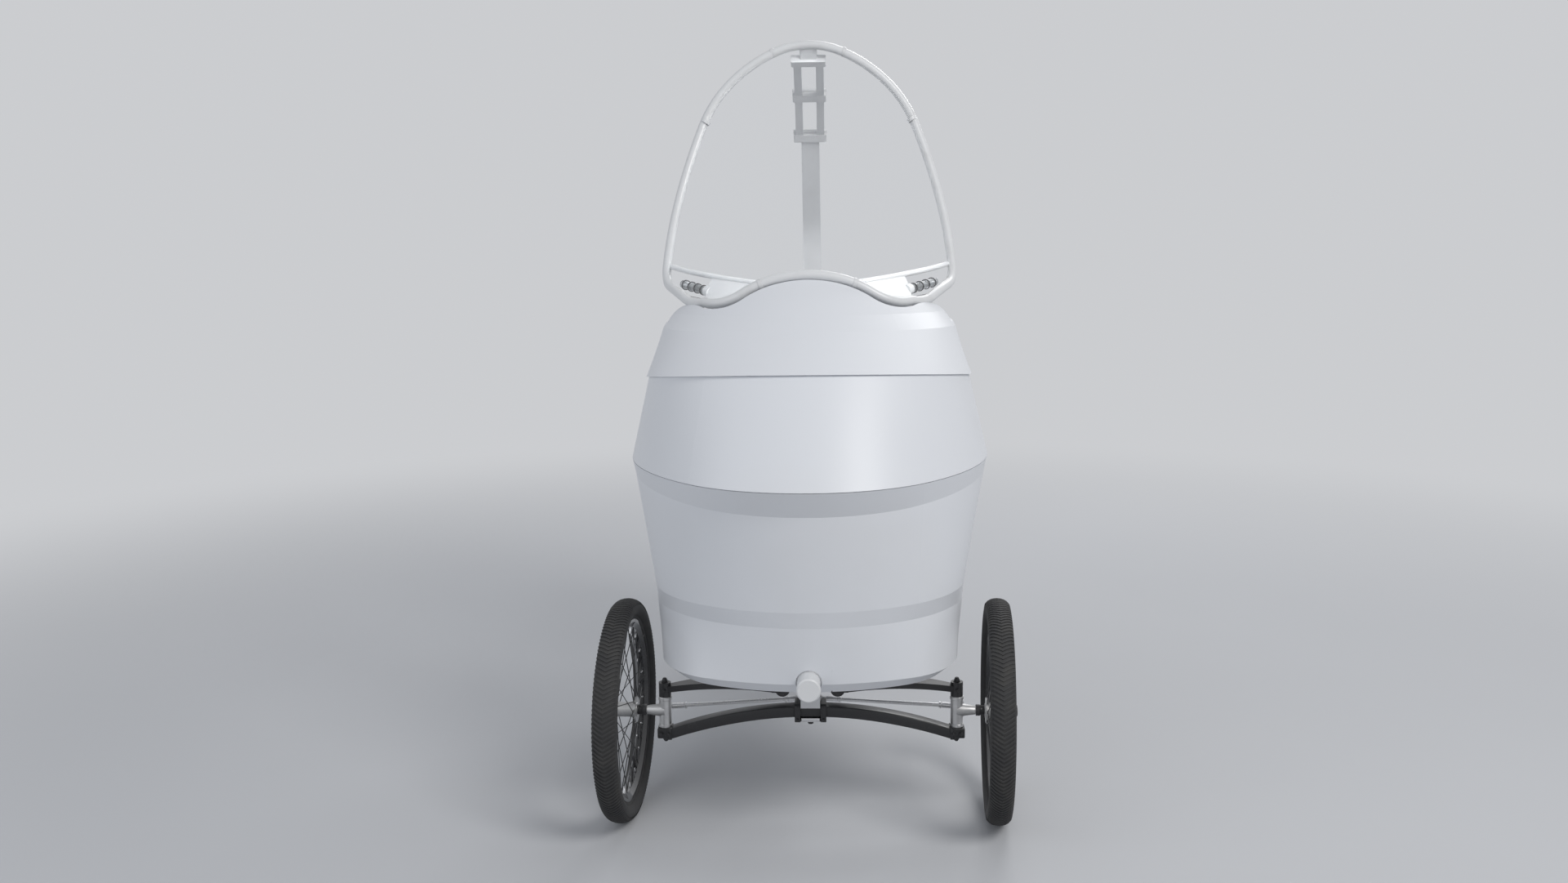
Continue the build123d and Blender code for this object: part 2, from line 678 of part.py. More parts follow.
for side_name, side in SIDES:
    pedal_y = along(CRANK_Y) + side * CRANK_L
    mid_x = side * (CRANK_X + PEDAL_GAP + PEDAL_W / 2)
    with BuildPart() as pedal:
        with BuildSketch(Plane((mid_x, pedal_y, CRANK_Z - PEDAL_T / 2))):
            RectangleRounded(PEDAL_W - PEDAL_PLAY, PEDAL_L, PEDAL_CORNER)
            for row in (-1, 1):
                with Locations((0, row * (PEDAL_L / 4 + PEDAL_BAR_T / 2))):
                    window_l = PEDAL_L / 4 - PEDAL_BAR_T
                    Rectangle(PEDAL_W - 2 * PEDAL_RIM, window_l, mode=Mode.SUBTRACT)
        extrude(amount=PEDAL_T)
        with BuildSketch(Plane((mid_x - PEDAL_W / 2, pedal_y, CRANK_Z), z_dir=(1, 0, 0))):
            Circle(PEDAL_PIN_R + FIT)
        extrude(amount=PEDAL_W, mode=Mode.SUBTRACT)
    save(pedal, "pedal_" + side_name)

CHAIN_GAP = 1.0
RUN_Y = WHEELBASE - CRANK_Y
RUN_Z = CRANK_Z - TYRE_R
RUN = hypot(RUN_Y, RUN_Z)
RUN_A = degrees(asin(RUN_Z / RUN))


def chain_outline(grow):
    """Belt outline round the chainring and the sprocket, as a sketch from above."""
    big = CHAINRING_R + grow
    small = SPROCKET_R + grow
    tilt = asin((big - small) / RUN)
    big_top = (big * sin(tilt), big * cos(tilt))
    small_top = (RUN + small * sin(tilt), small * cos(tilt))
    with BuildSketch() as outline:
        with BuildLine():
            Line(big_top, small_top)
            ThreePointArc(small_top, (RUN + small, 0), (small_top[0], -small_top[1]))
            Line((small_top[0], -small_top[1]), (big_top[0], -big_top[1]))
            ThreePointArc((big_top[0], -big_top[1]), (-big, 0), big_top)
        make_face()
    return outline.sketch


with BuildPart() as chain:
    lean = radians(-RUN_A)
    chain_plane = Plane(
        (CHAIN_X - CHAIN_W / 2, along(CRANK_Y), CRANK_Z),
        x_dir=(0, cos(lean), sin(lean)),
        z_dir=(1, 0, 0),
    )
    with BuildSketch(chain_plane):
        add(chain_outline(CHAIN_GAP + CHAIN_T))
        add(chain_outline(CHAIN_GAP), mode=Mode.SUBTRACT)
    extrude(amount=CHAIN_W)
save(chain, "chain")

# Front fairing. Each level is a bow-shaped band: its nose, the end of the nose arc,
# the widest point and the rear end, at a height z + slope * y
LEVELS = {
    #            z      slope   nose    bow x, y     side x, y   rear x, y
    "bottom": (375.0, 0.06, -196.0, 210, -155, 304, -20, 303, 25),
    "tuck": (398.0, 0.06, -213.0, 226, -172, 331, -20, 331, 30),
    "band_2_low": (513.0, 0.0, -230.0, 230, -155, 341, 0, 343, 62),
    "band_2_top": (550.0, 0.0, -240.0, 235, -165, 351, 40, 352, 75),
    "band_1_low": (776.9, 0.0626, -270.0, 245, -168, 413, 240, 410, 320),
    "seam": (816.0, 0.0, -NOSE_REACH, 250, -192, 419, 240, 416, 330),
    "lip": (1023.0, -0.114, -150.0, 220, -83, 373, 200, 372, 420),
    "shoulder_low": (1118.0, -0.03, -18.0, 206, 44, 345, 260, 344, 440),
    "shoulder_top": (1152.0, -0.03, 33.0, 190, 92, 325, 300, 322, 452),
    "cowl_top": (1245.0, 0.0, 168.0, 150, 215, 262, 400, 265, 500),
}


def level_plane(z, slope):
    """Plane of a level that may rise towards the rear."""
    rise = sqrt(1 + slope * slope)
    return Plane((0, along(0), z), x_dir=(1, 0, 0), z_dir=(0, -slope / rise, 1 / rise))


def bow_line(nose, bow_x, bow_y, side_x, side_y, rear_x, rear_y):
    """Half outlines joined: rear, side, bow, nose and back on the other side."""
    with BuildLine() as line:
        front = ThreePointArc((-bow_x, bow_y), (0, nose), (bow_x, bow_y))
        right = TangentArc(front @ 1, (side_x, side_y), tangent=front % 1)
        TangentArc(right @ 1, (rear_x, rear_y), tangent=right % 1)
        left = TangentArc(front @ 0, (-side_x, side_y), tangent=(front % 0) * -1)
        TangentArc(left @ 1, (-rear_x, rear_y), tangent=left % 1)
    return line.line


def bow_band(level, grow=0.0, wall=WALL):
    """Band of a level, grown outwards, as thick as the wall."""
    z, slope, nose, bow_x, bow_y, side_x, side_y, rear_x, rear_y = level
    sign = 1 if side_y > nose else -1
    drop = abs(bow_y - nose)
    arc_r = (bow_x * bow_x + drop * drop) / (2 * drop)
    out_x = bow_x / arc_r
    out_y = -sign * (arc_r - drop) / arc_r
    outer = (
        nose - sign * grow,
        bow_x + out_x * grow,
        bow_y + out_y * grow,
        side_x + grow,
        side_y,
        rear_x + grow,
        rear_y,
    )
    inset = wall - grow
    inner = (
        nose + sign * inset,
        bow_x - out_x * inset,
        bow_y - out_y * inset,
        side_x - inset,
        side_y,
        rear_x - inset,
        rear_y,
    )
    with BuildSketch() as band:
        with BuildLine():
            add(bow_line(*outer))
            add(bow_line(*inner))
            for side in (-1, 1):
                Line((side * outer[5], rear_y), (side * inner[5], rear_y))
        make_face()
    return band.sketch


def shell(bands):
    """Shell through levels with a crease at each: level name, lift, growth and wall."""
    with BuildPart() as part:
        for name, lift, grow, wall in bands:
            level = LEVELS[name]
            with BuildSketch(level_plane(level[0] + lift, level[1])):
                add(bow_band(level, grow, wall))
        loft(ruled=True)
    return part.part


LOWER_LEVELS = ("bottom", "tuck", "band_2_low", "band_2_top", "band_1_low", "seam")
with BuildPart() as lower_panel:
    add(shell([(name, 0, 0, WALL) for name in LOWER_LEVELS]))
    with BuildSketch(Plane((0, along(TUBE_FRONT), TUBE_Z), z_dir=(0, 1, 0))):
        Circle(TUBE_R + TUBE_GAP)
        with Locations((0, TUBE_R)):
            Rectangle(2 * (TUBE_R + TUBE_GAP), 2 * TUBE_R)
    extrude(amount=-TUBE_FRONT, mode=Mode.SUBTRACT)
save(lower_panel, "fairing_lower")

with BuildPart() as upper_panel:
    add(shell([("seam", SEAM, 0, WALL), ("lip", -FIT, 0, WALL)]))
save(upper_panel, "fairing_upper")

# Half of the windshield tube's centre line, seen from the front: x and z. One run goes
# from the top round the corner to the lowest point, the other from the nose down to it
SHIELD_LOW = (240, 1173)
SHIELD_SIDE = (
    (0, SHIELD_TOP_Z),
    (88, 1781),
    (191, 1713),
    (269, 1600),
    (325, 1420),
    (351, 1252),
    (337, 1203),
    (290, 1178),
    SHIELD_LOW,
)
SHIELD_BASE = ((0, SHIELD_NOSE_Z), (80, 1226), (147, 1196), SHIELD_LOW)


def arc_run(points, start):
    """Arcs that run on from each other through the points."""
    with BuildLine() as line:
        arc = TangentArc(points[0], points[1], tangent=start)
        for point in points[2:]:
            arc = TangentArc(arc @ 1, point, tangent=arc % 1)
    return line.line


LEAN_SIN = sin(radians(SHIELD_LEAN))
LEAN_COS = cos(radians(SHIELD_LEAN))


def shield_point(x, z):
    """Point of the windshield surface at a width and a height."""
    back = SHIELD_R - sqrt(SHIELD_R * SHIELD_R - x * x)
    nose = SHIELD_NOSE_Y * LEAN_COS - SHIELD_NOSE_Z * LEAN_SIN
    return Vector(x, along((nose + back + z * LEAN_SIN) / LEAN_COS), z)


def shield_inside(x, z, depth):
    """Point behind the windshield surface, straight in from it."""
    reach = sqrt(SHIELD_R * SHIELD_R - x * x)
    inward = Vector(-x, reach * LEAN_COS, -reach * LEAN_SIN) / SHIELD_R
    return shield_point(x, z) + inward * depth


def shield_frame(radius):
    """Tube frame round the windshield, both halves."""
    with BuildPart() as frame:
        for edge in (SHIELD_SIDE, SHIELD_BASE):
            points = [shield_point(x, z) for x, z in edge]
            with BuildLine() as line:
                add(arc_run(points, (1, 0, 0)))
            with BuildSketch(Plane(points[0], z_dir=(1, 0, 0))):
                RegularPolygon(radius, TUBE_SIDES)
            sweep(path=line.line)
        mirror(about=Plane.YZ)
    return frame.part


# The cowl's top edge follows the windshield over the nose and drops at the shoulders
COWL_WALL = 8.0
SHOULDER_DROP = ((300, 1160), (338, 1118))
COWL_TRIM = ((300, 1170), (520, 1045))
with BuildPart() as cowl:
    cowl_bands = [("lip", 0, LIP_OUT, COWL_WALL)]
    cowl_bands += [(name, 0, 0, WALL) for name in ("shoulder_low", "shoulder_top", "cowl_top")]
    add(shell(cowl_bands))
    with BuildSketch(Plane.XZ.offset(-along(0))):
        with BuildLine():
            for side in (-1, 1):
                edge = [(side * x, z - FRAME_R) for x, z in SHIELD_BASE]
                add(arc_run(edge, (side, 0)))
                drop = [(side * x, z) for x, z in SHOULDER_DROP]
                round_off = ThreePointArc(edge[-1], drop[0], drop[1])
                corner = (side * TRACK / 2, drop[1][1])
                Line(round_off @ 1, corner)
                Polyline(corner, (corner[0], SHIELD_TOP_Z), (0, SHIELD_TOP_Z))
        make_face()
    extrude(amount=-WHEELBASE, both=True, mode=Mode.SUBTRACT)
    with BuildSketch(Plane.YZ):
        trim = [(along(y), z) for y, z in COWL_TRIM]
        Polygon(*trim, (trim[1][0], SHIELD_TOP_Z), (trim[0][0], SHIELD_TOP_Z), align=None)
    extrude(amount=TRACK / 2, both=True, mode=Mode.SUBTRACT)
    add(shield_frame(FRAME_R + FIT), mode=Mode.SUBTRACT)
save(cowl, "fairing_cowl")

# Windshield: a pane on a leaning cylinder, in a tube frame that follows its edge
with BuildPart() as windshield_frame:
    add(shield_frame(FRAME_R))
save(windshield_frame, "windshield_frame")

nose_point = shield_point(0, SHIELD_NOSE_Z)
pane_plane = Plane(
    nose_point + Vector(0, LEAN_COS, -LEAN_SIN) * SHIELD_R,
    x_dir=(1, 0, 0),
    z_dir=(0, LEAN_SIN, LEAN_COS),
)


def shield_sheet(depth, thickness):
    """Half a leaning cylinder, its outer face this deep behind the windshield surface."""
    with BuildPart() as sheet:
        with BuildSketch(pane_plane.offset(-SHIELD_R)):
            Circle(SHIELD_R - depth)
            Circle(SHIELD_R - depth - thickness, mode=Mode.SUBTRACT)
            with Locations((0, SHIELD_R)):
                Rectangle(SHEET_REACH, 2 * SHIELD_R, mode=Mode.SUBTRACT)
        extrude(amount=SHEET_REACH)
    return sheet.part


FRONT_VIEW = Plane.XZ.offset(-along(SHIELD_NOSE_Y - SHIELD_R))
with BuildPart() as pane:
    add(shield_sheet(-PANE_T / 2, PANE_T))
    with BuildSketch(FRONT_VIEW):
        with BuildLine():
            for side in (1, -1):
                for edge in (SHIELD_SIDE, SHIELD_BASE):
                    add(arc_run([(side * x, z) for x, z in edge], (side, 0)))
        make_face()
        offset(amount=-PANE_INSET)
    extrude(amount=-SHEET_REACH, mode=Mode.INTERSECT)
    add(shield_frame(FRAME_R + FIT), mode=Mode.SUBTRACT)
save(pane, "windshield_pane")

# Dash corners behind the pane: a bar from the frame's side to its base, a plate under
# it, and the cup of a lamp. The lamp lies in the opening at the outer corner
DASH_BAR = ((352, 1252), (226, 1236), (100, 1222))
DASH_PLATE = ((100, 1222), (222, 1236), (240, 1196), (240, 1173), (192, 1180), (147, 1196), (100, 1218))
LAMP_INNER = (250, 1206)
LAMP_OUTER = (318, 1216)
lamp_start = shield_inside(*LAMP_INNER, LAMP_DEPTH)
lamp_end = shield_inside(*LAMP_OUTER, LAMP_DEPTH)
lamp_run = (lamp_end - lamp_start).normalized()
with BuildPart() as dash:
    with BuildPart() as plate:
        add(shield_sheet(DASH_DEPTH - DASH_PLATE_T / 2, DASH_PLATE_T))
        with BuildSketch(FRONT_VIEW):
            Polygon(*DASH_PLATE, align=None)
        extrude(amount=-SHEET_REACH, mode=Mode.INTERSECT)
    bar_run = [shield_inside(x, z, DASH_DEPTH) for x, z in DASH_BAR]
    with BuildLine() as dash_line:
        ThreePointArc(*bar_run)
    with BuildSketch(Plane(dash_line.line @ 0, z_dir=dash_line.line % 0)):
        RegularPolygon(DASH_BAR_R, TUBE_SIDES)
    sweep(path=dash_line.line)
    cup_start = lamp_start - lamp_run * LAMP_CUP_L
    add(rod(tuple(cup_start), tuple(lamp_start - lamp_run * FIT), LAMP_CUP_R))
    add(shield_frame(FRAME_R + FIT), mode=Mode.SUBTRACT)
dash_bodies = dash.part.solids().filter_by(lambda solid: solid.volume > LAMP_R**3)
with BuildPart() as dash_corners:
    add(dash_bodies)
    mirror(about=Plane.YZ)
save(dash_corners, "dash_corners")

with BuildPart() as dash_lamps:
    add(rod(tuple(lamp_start), tuple(lamp_end), LAMP_R))
    lamp_length = (lamp_end - lamp_start).length
    for i in range(LAMP_RINGS):
        ring_at = lamp_start + lamp_run * (lamp_length * (i + 0.5) / LAMP_RINGS - LAMP_RING_T / 2)
        add(rod(tuple(ring_at), tuple(ring_at + lamp_run * LAMP_RING_T), LAMP_RING_R))
    mirror(about=Plane.YZ)
save(dash_lamps, "dash_lamps")

# Roof spine: two rails joined by three blocks, then a flat bar down to the main tube
SPINE_1 = (668.0, 1762.0)
SPINE_2 = (810.0, 1684.0)
SPINE_3 = (914.0, 1583.0)
MAST_POINTS = ((1048.0, 1370.0), (1082.0, 1250.0), (1056.0, 1000.0), (900.0, TUBE_Z))


def spine_plane(at, to):
    """Plane across the spine at one point, facing the next."""
    return Plane(
        (0, along(at[0]), at[1]), x_dir=(1, 0, 0), z_dir=(0, to[0] - at[0], to[1] - at[1])
    )


with BuildPart() as blocks:
    for at, to in ((SPINE_1, SPINE_2), (SPINE_2, SPINE_3), (SPINE_3, MAST_POINTS[0])):
        with BuildSketch(spine_plane(at, to).offset(-BLOCK_T / 2)):
            RectangleRounded(BLOCK_W, BLOCK_H, BLOCK_CORNER)
        extrude(amount=BLOCK_T)
    for at, to in ((SPINE_2, SPINE_3), (SPINE_3, MAST_POINTS[0])):
        face = spine_plane(at, to)
        pin_at = face.origin - face.z_dir * (BLOCK_T / 2) - face.y_dir * (BLOCK_H / 2)
        pin_half = Vector(BLOCK_W / 2 + 1, 0, 0)
        add(rod(tuple(pin_at - pin_half), tuple(pin_at + pin_half), BLOCK_PIN_R))
    shield_top = shield_point(0, SHIELD_TOP_Z)
    neck_run = shield_top - Vector(0, along(SPINE_1[0]), SPINE_1[1])
    with BuildSketch(Plane((0, along(SPINE_1[0]), SPINE_1[1]), x_dir=(1, 0, 0), z_dir=neck_run)):
        RectangleRounded(NECK_W, RAIL_T, BLOCK_CORNER)
    extrude(amount=neck_run.length)
    add(shield_frame(FRAME_R + FIT), mode=Mode.SUBTRACT)
roof_body = blocks.part.solids().filter_by(lambda solid: solid.volume > BLOCK_T**3)
with BuildPart() as blocks:
    add(roof_body)
save(blocks, "roof_blocks")

with BuildPart() as rails:
    for at, to in ((SPINE_1, SPINE_2), (SPINE_2, SPINE_3)):
        span = hypot(to[0] - at[0], to[1] - at[1])
        with BuildSketch(spine_plane(at, to)):
            with Locations((-RAIL_X, 0), (RAIL_X, 0)):
                Rectangle(RAIL_W, RAIL_T)
        extrude(amount=span)
    add(blocks.part, mode=Mode.SUBTRACT)
save(rails, "roof_rails")

with BuildPart() as mast:
    with BuildSketch(Plane.YZ.offset(-MAST_W / 2)):
        with BuildLine():
            run = Vector(MAST_POINTS[0][0] - SPINE_3[0], MAST_POINTS[0][1] - SPINE_3[1]).normalized()
            start = Vector(along(SPINE_3[0]), SPINE_3[1]) + run * (BLOCK_T / 2 + FIT)
            arc = Line(start, (along(MAST_POINTS[0][0]), MAST_POINTS[0][1]))
            for y, z in MAST_POINTS[1:]:
                arc = TangentArc(arc @ 1, (along(y), z), tangent=arc % 1)
        trace(line_width=MAST_T)
    extrude(amount=MAST_W)
    with BuildSketch(Plane((0, along(TUBE_REAR) - MAST_SEAT_L, TUBE_Z), z_dir=(0, 1, 0))):
        Circle(TUBE_R + FIT)
    extrude(amount=MAST_SEAT_L, mode=Mode.SUBTRACT)
save(mast, "mast")

# Seat: a bent pan on posts, with two cushions
BACK_TILT = radians(BACK_LEAN)
BACK_START = (SEAT_REAR, SEAT_Z + SEAT_PAN_T / 2)
BACK_END = (SEAT_REAR + BACK_L * sin(BACK_TILT), SEAT_Z + BACK_L * cos(BACK_TILT))
with BuildPart() as seat_frame:
    with BuildSketch(Plane.YZ.offset(-SEAT_W / 2)):
        with BuildLine():
            FilletPolyline(
                (along(SEAT_FRONT), SEAT_Z),
                (along(SEAT_REAR), SEAT_Z),
                (along(BACK_END[0]), BACK_END[1]),
                radius=SEAT_BEND_R,
            )
        trace(line_width=SEAT_PAN_T)
    extrude(amount=SEAT_W)
save(seat_frame, "seat_frame")

with BuildPart() as seat_cushion:
    cushion_front = SEAT_FRONT + CUSHION_FRONT_GAP
    cushion_rear = SEAT_REAR - CUSHION_REAR_GAP
    cushion_mid = along((cushion_front + cushion_rear) / 2)
    with BuildSketch(Plane((0, cushion_mid, SEAT_Z + SEAT_PAN_T / 2 + FIT))):
        RectangleRounded(SEAT_W, cushion_rear - cushion_front, CUSHION_CORNER)
    extrude(amount=CUSHION_T)
save(seat_cushion, "seat_cushion")

with BuildPart() as back_cushion:
    back_up = Vector(0, sin(BACK_TILT), cos(BACK_TILT))
    lean_plane = Plane(
        Vector(0, along(SEAT_REAR), SEAT_Z) + back_up * BACK_CUSHION_UP,
        x_dir=(1, 0, 0),
        z_dir=back_up,
    )
    with BuildSketch(lean_plane):
        with Locations((0, -SEAT_PAN_T / 2 - FIT - CUSHION_T / 2)):
            RectangleRounded(SEAT_W, CUSHION_T, BACK_CUSHION_CORNER)
    extrude(amount=BACK_L - BACK_CUSHION_UP - BACK_CUSHION_TOP_GAP)
save(back_cushion, "back_cushion")

with BuildPart() as battery:
    with BuildSketch(Plane((0, along(BATTERY_Y), BATTERY_LOW))):
        RectangleRounded(BATTERY_W, BATTERY_L, BATTERY_CORNER)
    extrude(amount=SEAT_Z - SEAT_PAN_T / 2 - FIT - BATTERY_LOW)
save(battery, "battery_box")

with BuildPart() as posts:
    for y, top in ((POST_FRONT_Y, SEAT_Z - SEAT_PAN_T / 2 - FIT), (BATTERY_Y, BATTERY_LOW - FIT)):
        with BuildSketch(Plane((0, along(y), TUBE_Z))):
            Rectangle(POST_W, POST_L)
        extrude(amount=top - TUBE_Z)
    with BuildSketch(Plane((0, along(SEAT_FRONT), TUBE_Z), z_dir=(0, 1, 0))):
        Circle(TUBE_R + FIT)
    extrude(amount=SEAT_REAR - SEAT_FRONT, mode=Mode.SUBTRACT)
save(posts, "seat_posts")

# Rear shell behind the seat, and the mudguard over the rear wheel
REAR_LEVELS = {
    #              z     slope  nose    bow x, y      side x, y   rear x, y
    "rear_low": (560.0, 0.0, 1105.0, 120, 1075, 255, 900, 262, 720),
    "rear_wide": (800.0, 0.0, 1150.0, 160, 1105, 330, 900, 335, 690),
    "rear_top": (1060.0, 0.0, 1120.0, 140, 1085, 290, 930, 295, 800),
}
LEVELS.update(REAR_LEVELS)
with BuildPart() as rear_shell:
    add(shell([("rear_low", 0, 0, WALL), ("rear_wide", 0, 0, WALL), ("rear_top", 0, 0, WALL)]))
save(rear_shell, "rear_shell")

SHELL_BRACKET_R = 11.0
SHELL_BRACKET_Z = (700.0, 960.0)
with BuildPart() as shell_brackets:
    for z in SHELL_BRACKET_Z:
        low, high = ("rear_low", "rear_wide") if z < LEVELS["rear_wide"][0] else ("rear_wide", "rear_top")
        share = (z - LEVELS[low][0]) / (LEVELS[high][0] - LEVELS[low][0])
        nose = LEVELS[low][2] * (1 - share) + LEVELS[high][2] * share
        add(rod((0, along(SEAT_REAR), z), (0, along(nose - WALL / 2), z), SHELL_BRACKET_R))
    add(mast.part, mode=Mode.SUBTRACT)
    add(rear_shell.part, mode=Mode.SUBTRACT)
bracket_bodies = shell_brackets.part.solids().filter_by(
    lambda solid: solid.center().Y > along(MAST_POINTS[2][0]) - MAST_T and solid.volume > WALL**3
)
with BuildPart() as shell_brackets:
    add(bracket_bodies)
save(shell_brackets, "shell_brackets")

GUARD_R = 272.0
GUARD_W = 84.0
GUARD_T = 4.0
GUARD_STAY_A = 70.0
GUARD_END_A = 150.0
PAD_R = 6.0
GUARD_STAY_R = 3.0
GUARD_TAB_R = 5.0
GUARD_TAB_T = 8.5
GUARD_START = 30.0
GUARD_ARC = 125.0
with BuildPart() as guard:
    guard_a = radians(GUARD_START)
    guard_dir = (0, cos(guard_a), sin(guard_a))
    with BuildSketch(Plane((0, REAR_Y, TYRE_R), x_dir=guard_dir, z_dir=(0, -sin(guard_a), cos(guard_a)))):
        with Locations((GUARD_R + GUARD_T / 2, 0)):
            Rectangle(GUARD_T, GUARD_W)
    revolve(axis=Axis((0, REAR_Y, TYRE_R), (1, 0, 0)), revolution_arc=GUARD_ARC)
    for side in (-1, 1):
        up = Vector(0, cos(radians(GUARD_STAY_A)), sin(radians(GUARD_STAY_A)))
        guard_side = side * (GUARD_W / 2 - GUARD_T)
        guard_point = Vector(guard_side, REAR_Y, TYRE_R) + up * (GUARD_R + GUARD_T / 2)
        tab_start = Vector(side * (STAY_X + DROPOUT_T / 2 + FIT), REAR_Y, TYRE_R)
        tab_start += up * (DROPOUT_R - GUARD_TAB_R)
        tab_end = tab_start + Vector(side * GUARD_TAB_T, 0, 0)
        foot_point = tab_end - Vector(side * GUARD_STAY_R, 0, 0)
        add(rod(tuple(tab_start), tuple(tab_end), GUARD_TAB_R))
        add(rod(tuple(guard_point), tuple(foot_point), GUARD_STAY_R))
    front = Vector(0, cos(radians(GUARD_END_A)), sin(radians(GUARD_END_A)))
    front_point = Vector(0, REAR_Y, TYRE_R) + front * (GUARD_R + GUARD_T / 2)
    add(rod(tuple(front_point), (0, along(TUBE_REAR) + YOKE_R, STAY_Z), PAD_R))
    yoke_half = Vector(STAY_X, 0, 0)
    yoke_at = Vector(0, along(TUBE_REAR) + YOKE_R + FIT, STAY_Z)
    add(rod(yoke_at - yoke_half, yoke_at + yoke_half, YOKE_R + FIT), mode=Mode.SUBTRACT)
guard_body = guard.part.solids().sort_by(SortBy.VOLUME)[-1]
with BuildPart() as guard:
    add(guard_body)
save(guard, "rear_mudguard")

# Hoop and strut that carry the fairing from the main tube
HOOP_R = 9.0
PAD_RISE = 20.0
HOOP_SHORT = 20.0
HOOP_EASE_X = 0.6
HOOP_GAP = 2.0
HOOP_EASE_Y = 0.8
STRUT_Y = -60.0


def level_at(low, high, z, column, y):
    """Value of one column of the levels between two of them, at a height and a place."""
    low_z = LEVELS[low][0] + LEVELS[low][1] * y
    high_z = LEVELS[high][0] + LEVELS[high][1] * y
    share = (z - low_z) / (high_z - low_z)
    return LEVELS[low][column] * (1 - share) + LEVELS[high][column] * share


with BuildPart() as hoop:
    z, slope, nose, bow_x, bow_y, side_x, side_y, rear_x, rear_y = LEVELS["seam"]
    inset = WALL + FIT + HOOP_R
    flat_line = bow_line(
        nose + inset + HOOP_R,
        bow_x - inset * HOOP_EASE_X,
        bow_y + inset * HOOP_EASE_Y + HOOP_R,
        side_x - inset - HOOP_GAP,
        side_y,
        rear_x - inset - HOOP_GAP,
        rear_y - HOOP_SHORT,
    )
    with BuildLine() as hoop_line:
        add(flat_line.moved(Location((0, along(0), z))))
    hoop_wire = hoop_line.wire()
    with BuildSketch(Plane(hoop_wire @ 0, z_dir=hoop_wire % 0)):
        RegularPolygon(HOOP_R, TUBE_SIDES)
    sweep(path=hoop_wire)
    add(rod((0, along(STRUT_Y), TUBE_Z), (0, along(nose + inset + HOOP_R), z), HOOP_R))
    with BuildSketch(Plane((0, along(TUBE_FRONT), TUBE_Z), z_dir=(0, 1, 0))):
        Circle(TUBE_R + FIT)
    extrude(amount=SEAT_FRONT, mode=Mode.SUBTRACT)
    for rise in (-PAD_RISE, PAD_RISE):
        low, high = ("band_1_low", "seam") if rise < 0 else ("seam", "lip")
        pad_z = z + rise
        nose_out = level_at(low, high, pad_z, 2, nose)
        side_out = level_at(low, high, pad_z, 5, side_y)
        add(rod((0, along(nose + inset + HOOP_R), z), (0, along(nose_out + WALL / 2), pad_z), PAD_R))
        for side in (-1, 1):
            pad_start = (side * (side_x - inset), along(side_y), z)
            add(rod(pad_start, (side * (side_out - WALL / 2), along(side_y), pad_z), PAD_R))
    add(lower_panel.part, mode=Mode.SUBTRACT)
    add(upper_panel.part, mode=Mode.SUBTRACT)
hoop_body = hoop.part.solids().sort_by(SortBy.VOLUME)[-1]
with BuildPart() as hoop:
    add(hoop_body)
save(hoop, "fairing_hoop")
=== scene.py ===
import json
import math

import bmesh
import bpy
from mathutils import Matrix, Vector


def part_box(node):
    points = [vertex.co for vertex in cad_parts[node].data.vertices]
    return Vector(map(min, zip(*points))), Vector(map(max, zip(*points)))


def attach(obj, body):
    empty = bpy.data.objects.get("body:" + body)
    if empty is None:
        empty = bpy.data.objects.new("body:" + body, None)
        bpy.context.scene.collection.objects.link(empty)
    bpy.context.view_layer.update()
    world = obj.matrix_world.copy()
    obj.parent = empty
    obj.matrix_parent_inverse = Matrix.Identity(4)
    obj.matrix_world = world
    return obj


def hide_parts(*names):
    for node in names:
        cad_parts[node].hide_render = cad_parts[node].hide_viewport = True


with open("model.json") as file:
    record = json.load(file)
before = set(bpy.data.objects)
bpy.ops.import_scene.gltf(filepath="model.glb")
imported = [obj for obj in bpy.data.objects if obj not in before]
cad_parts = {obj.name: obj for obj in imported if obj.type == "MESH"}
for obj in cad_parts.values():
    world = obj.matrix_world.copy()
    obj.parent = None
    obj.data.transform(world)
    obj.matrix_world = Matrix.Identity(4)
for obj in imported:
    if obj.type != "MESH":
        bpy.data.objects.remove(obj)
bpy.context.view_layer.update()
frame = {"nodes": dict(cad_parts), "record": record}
NODES = frame["nodes"]

# Places that the tricycle's source also uses, in metres
FRONT_AXLE_Y = -0.601
REAR_AXLE_Y = 0.649
AXLE_Z = 0.254
WHEEL_X = 0.42484
WHEEL_Y_STEP = 0.00546
KINGPIN_X = 0.333
COLUMN_Y = -0.541
ROD_Z = 0.2396
CHAIN_X = -0.053
CRANK_AT = (-0.231, 0.420)
STAY_TURN = math.radians(70.0)
STEER_REST = math.radians(-3.4)
FRONT_TURN = Matrix.Rotation(STEER_REST, 4, "Z")
SIDES = (("left", 1), ("right", -1))
WHEELS_AT = {
    "left": (WHEEL_X, FRONT_AXLE_Y - WHEEL_Y_STEP, AXLE_Z),
    "right": (-WHEEL_X, FRONT_AXLE_Y + WHEEL_Y_STEP, AXLE_Z),
}


# ---------------------------------------------------------------- camera
CAMERA_AT = Vector((0.048, -3.738, 1.378))
CAMERA_YAW = math.radians(-1.85)
CAMERA_PITCH = math.radians(9.09)
CAMERA_ROLL = 0.0122
FOCAL_PIXELS = 1753.0
PHOTO_WIDTH = 1920.0

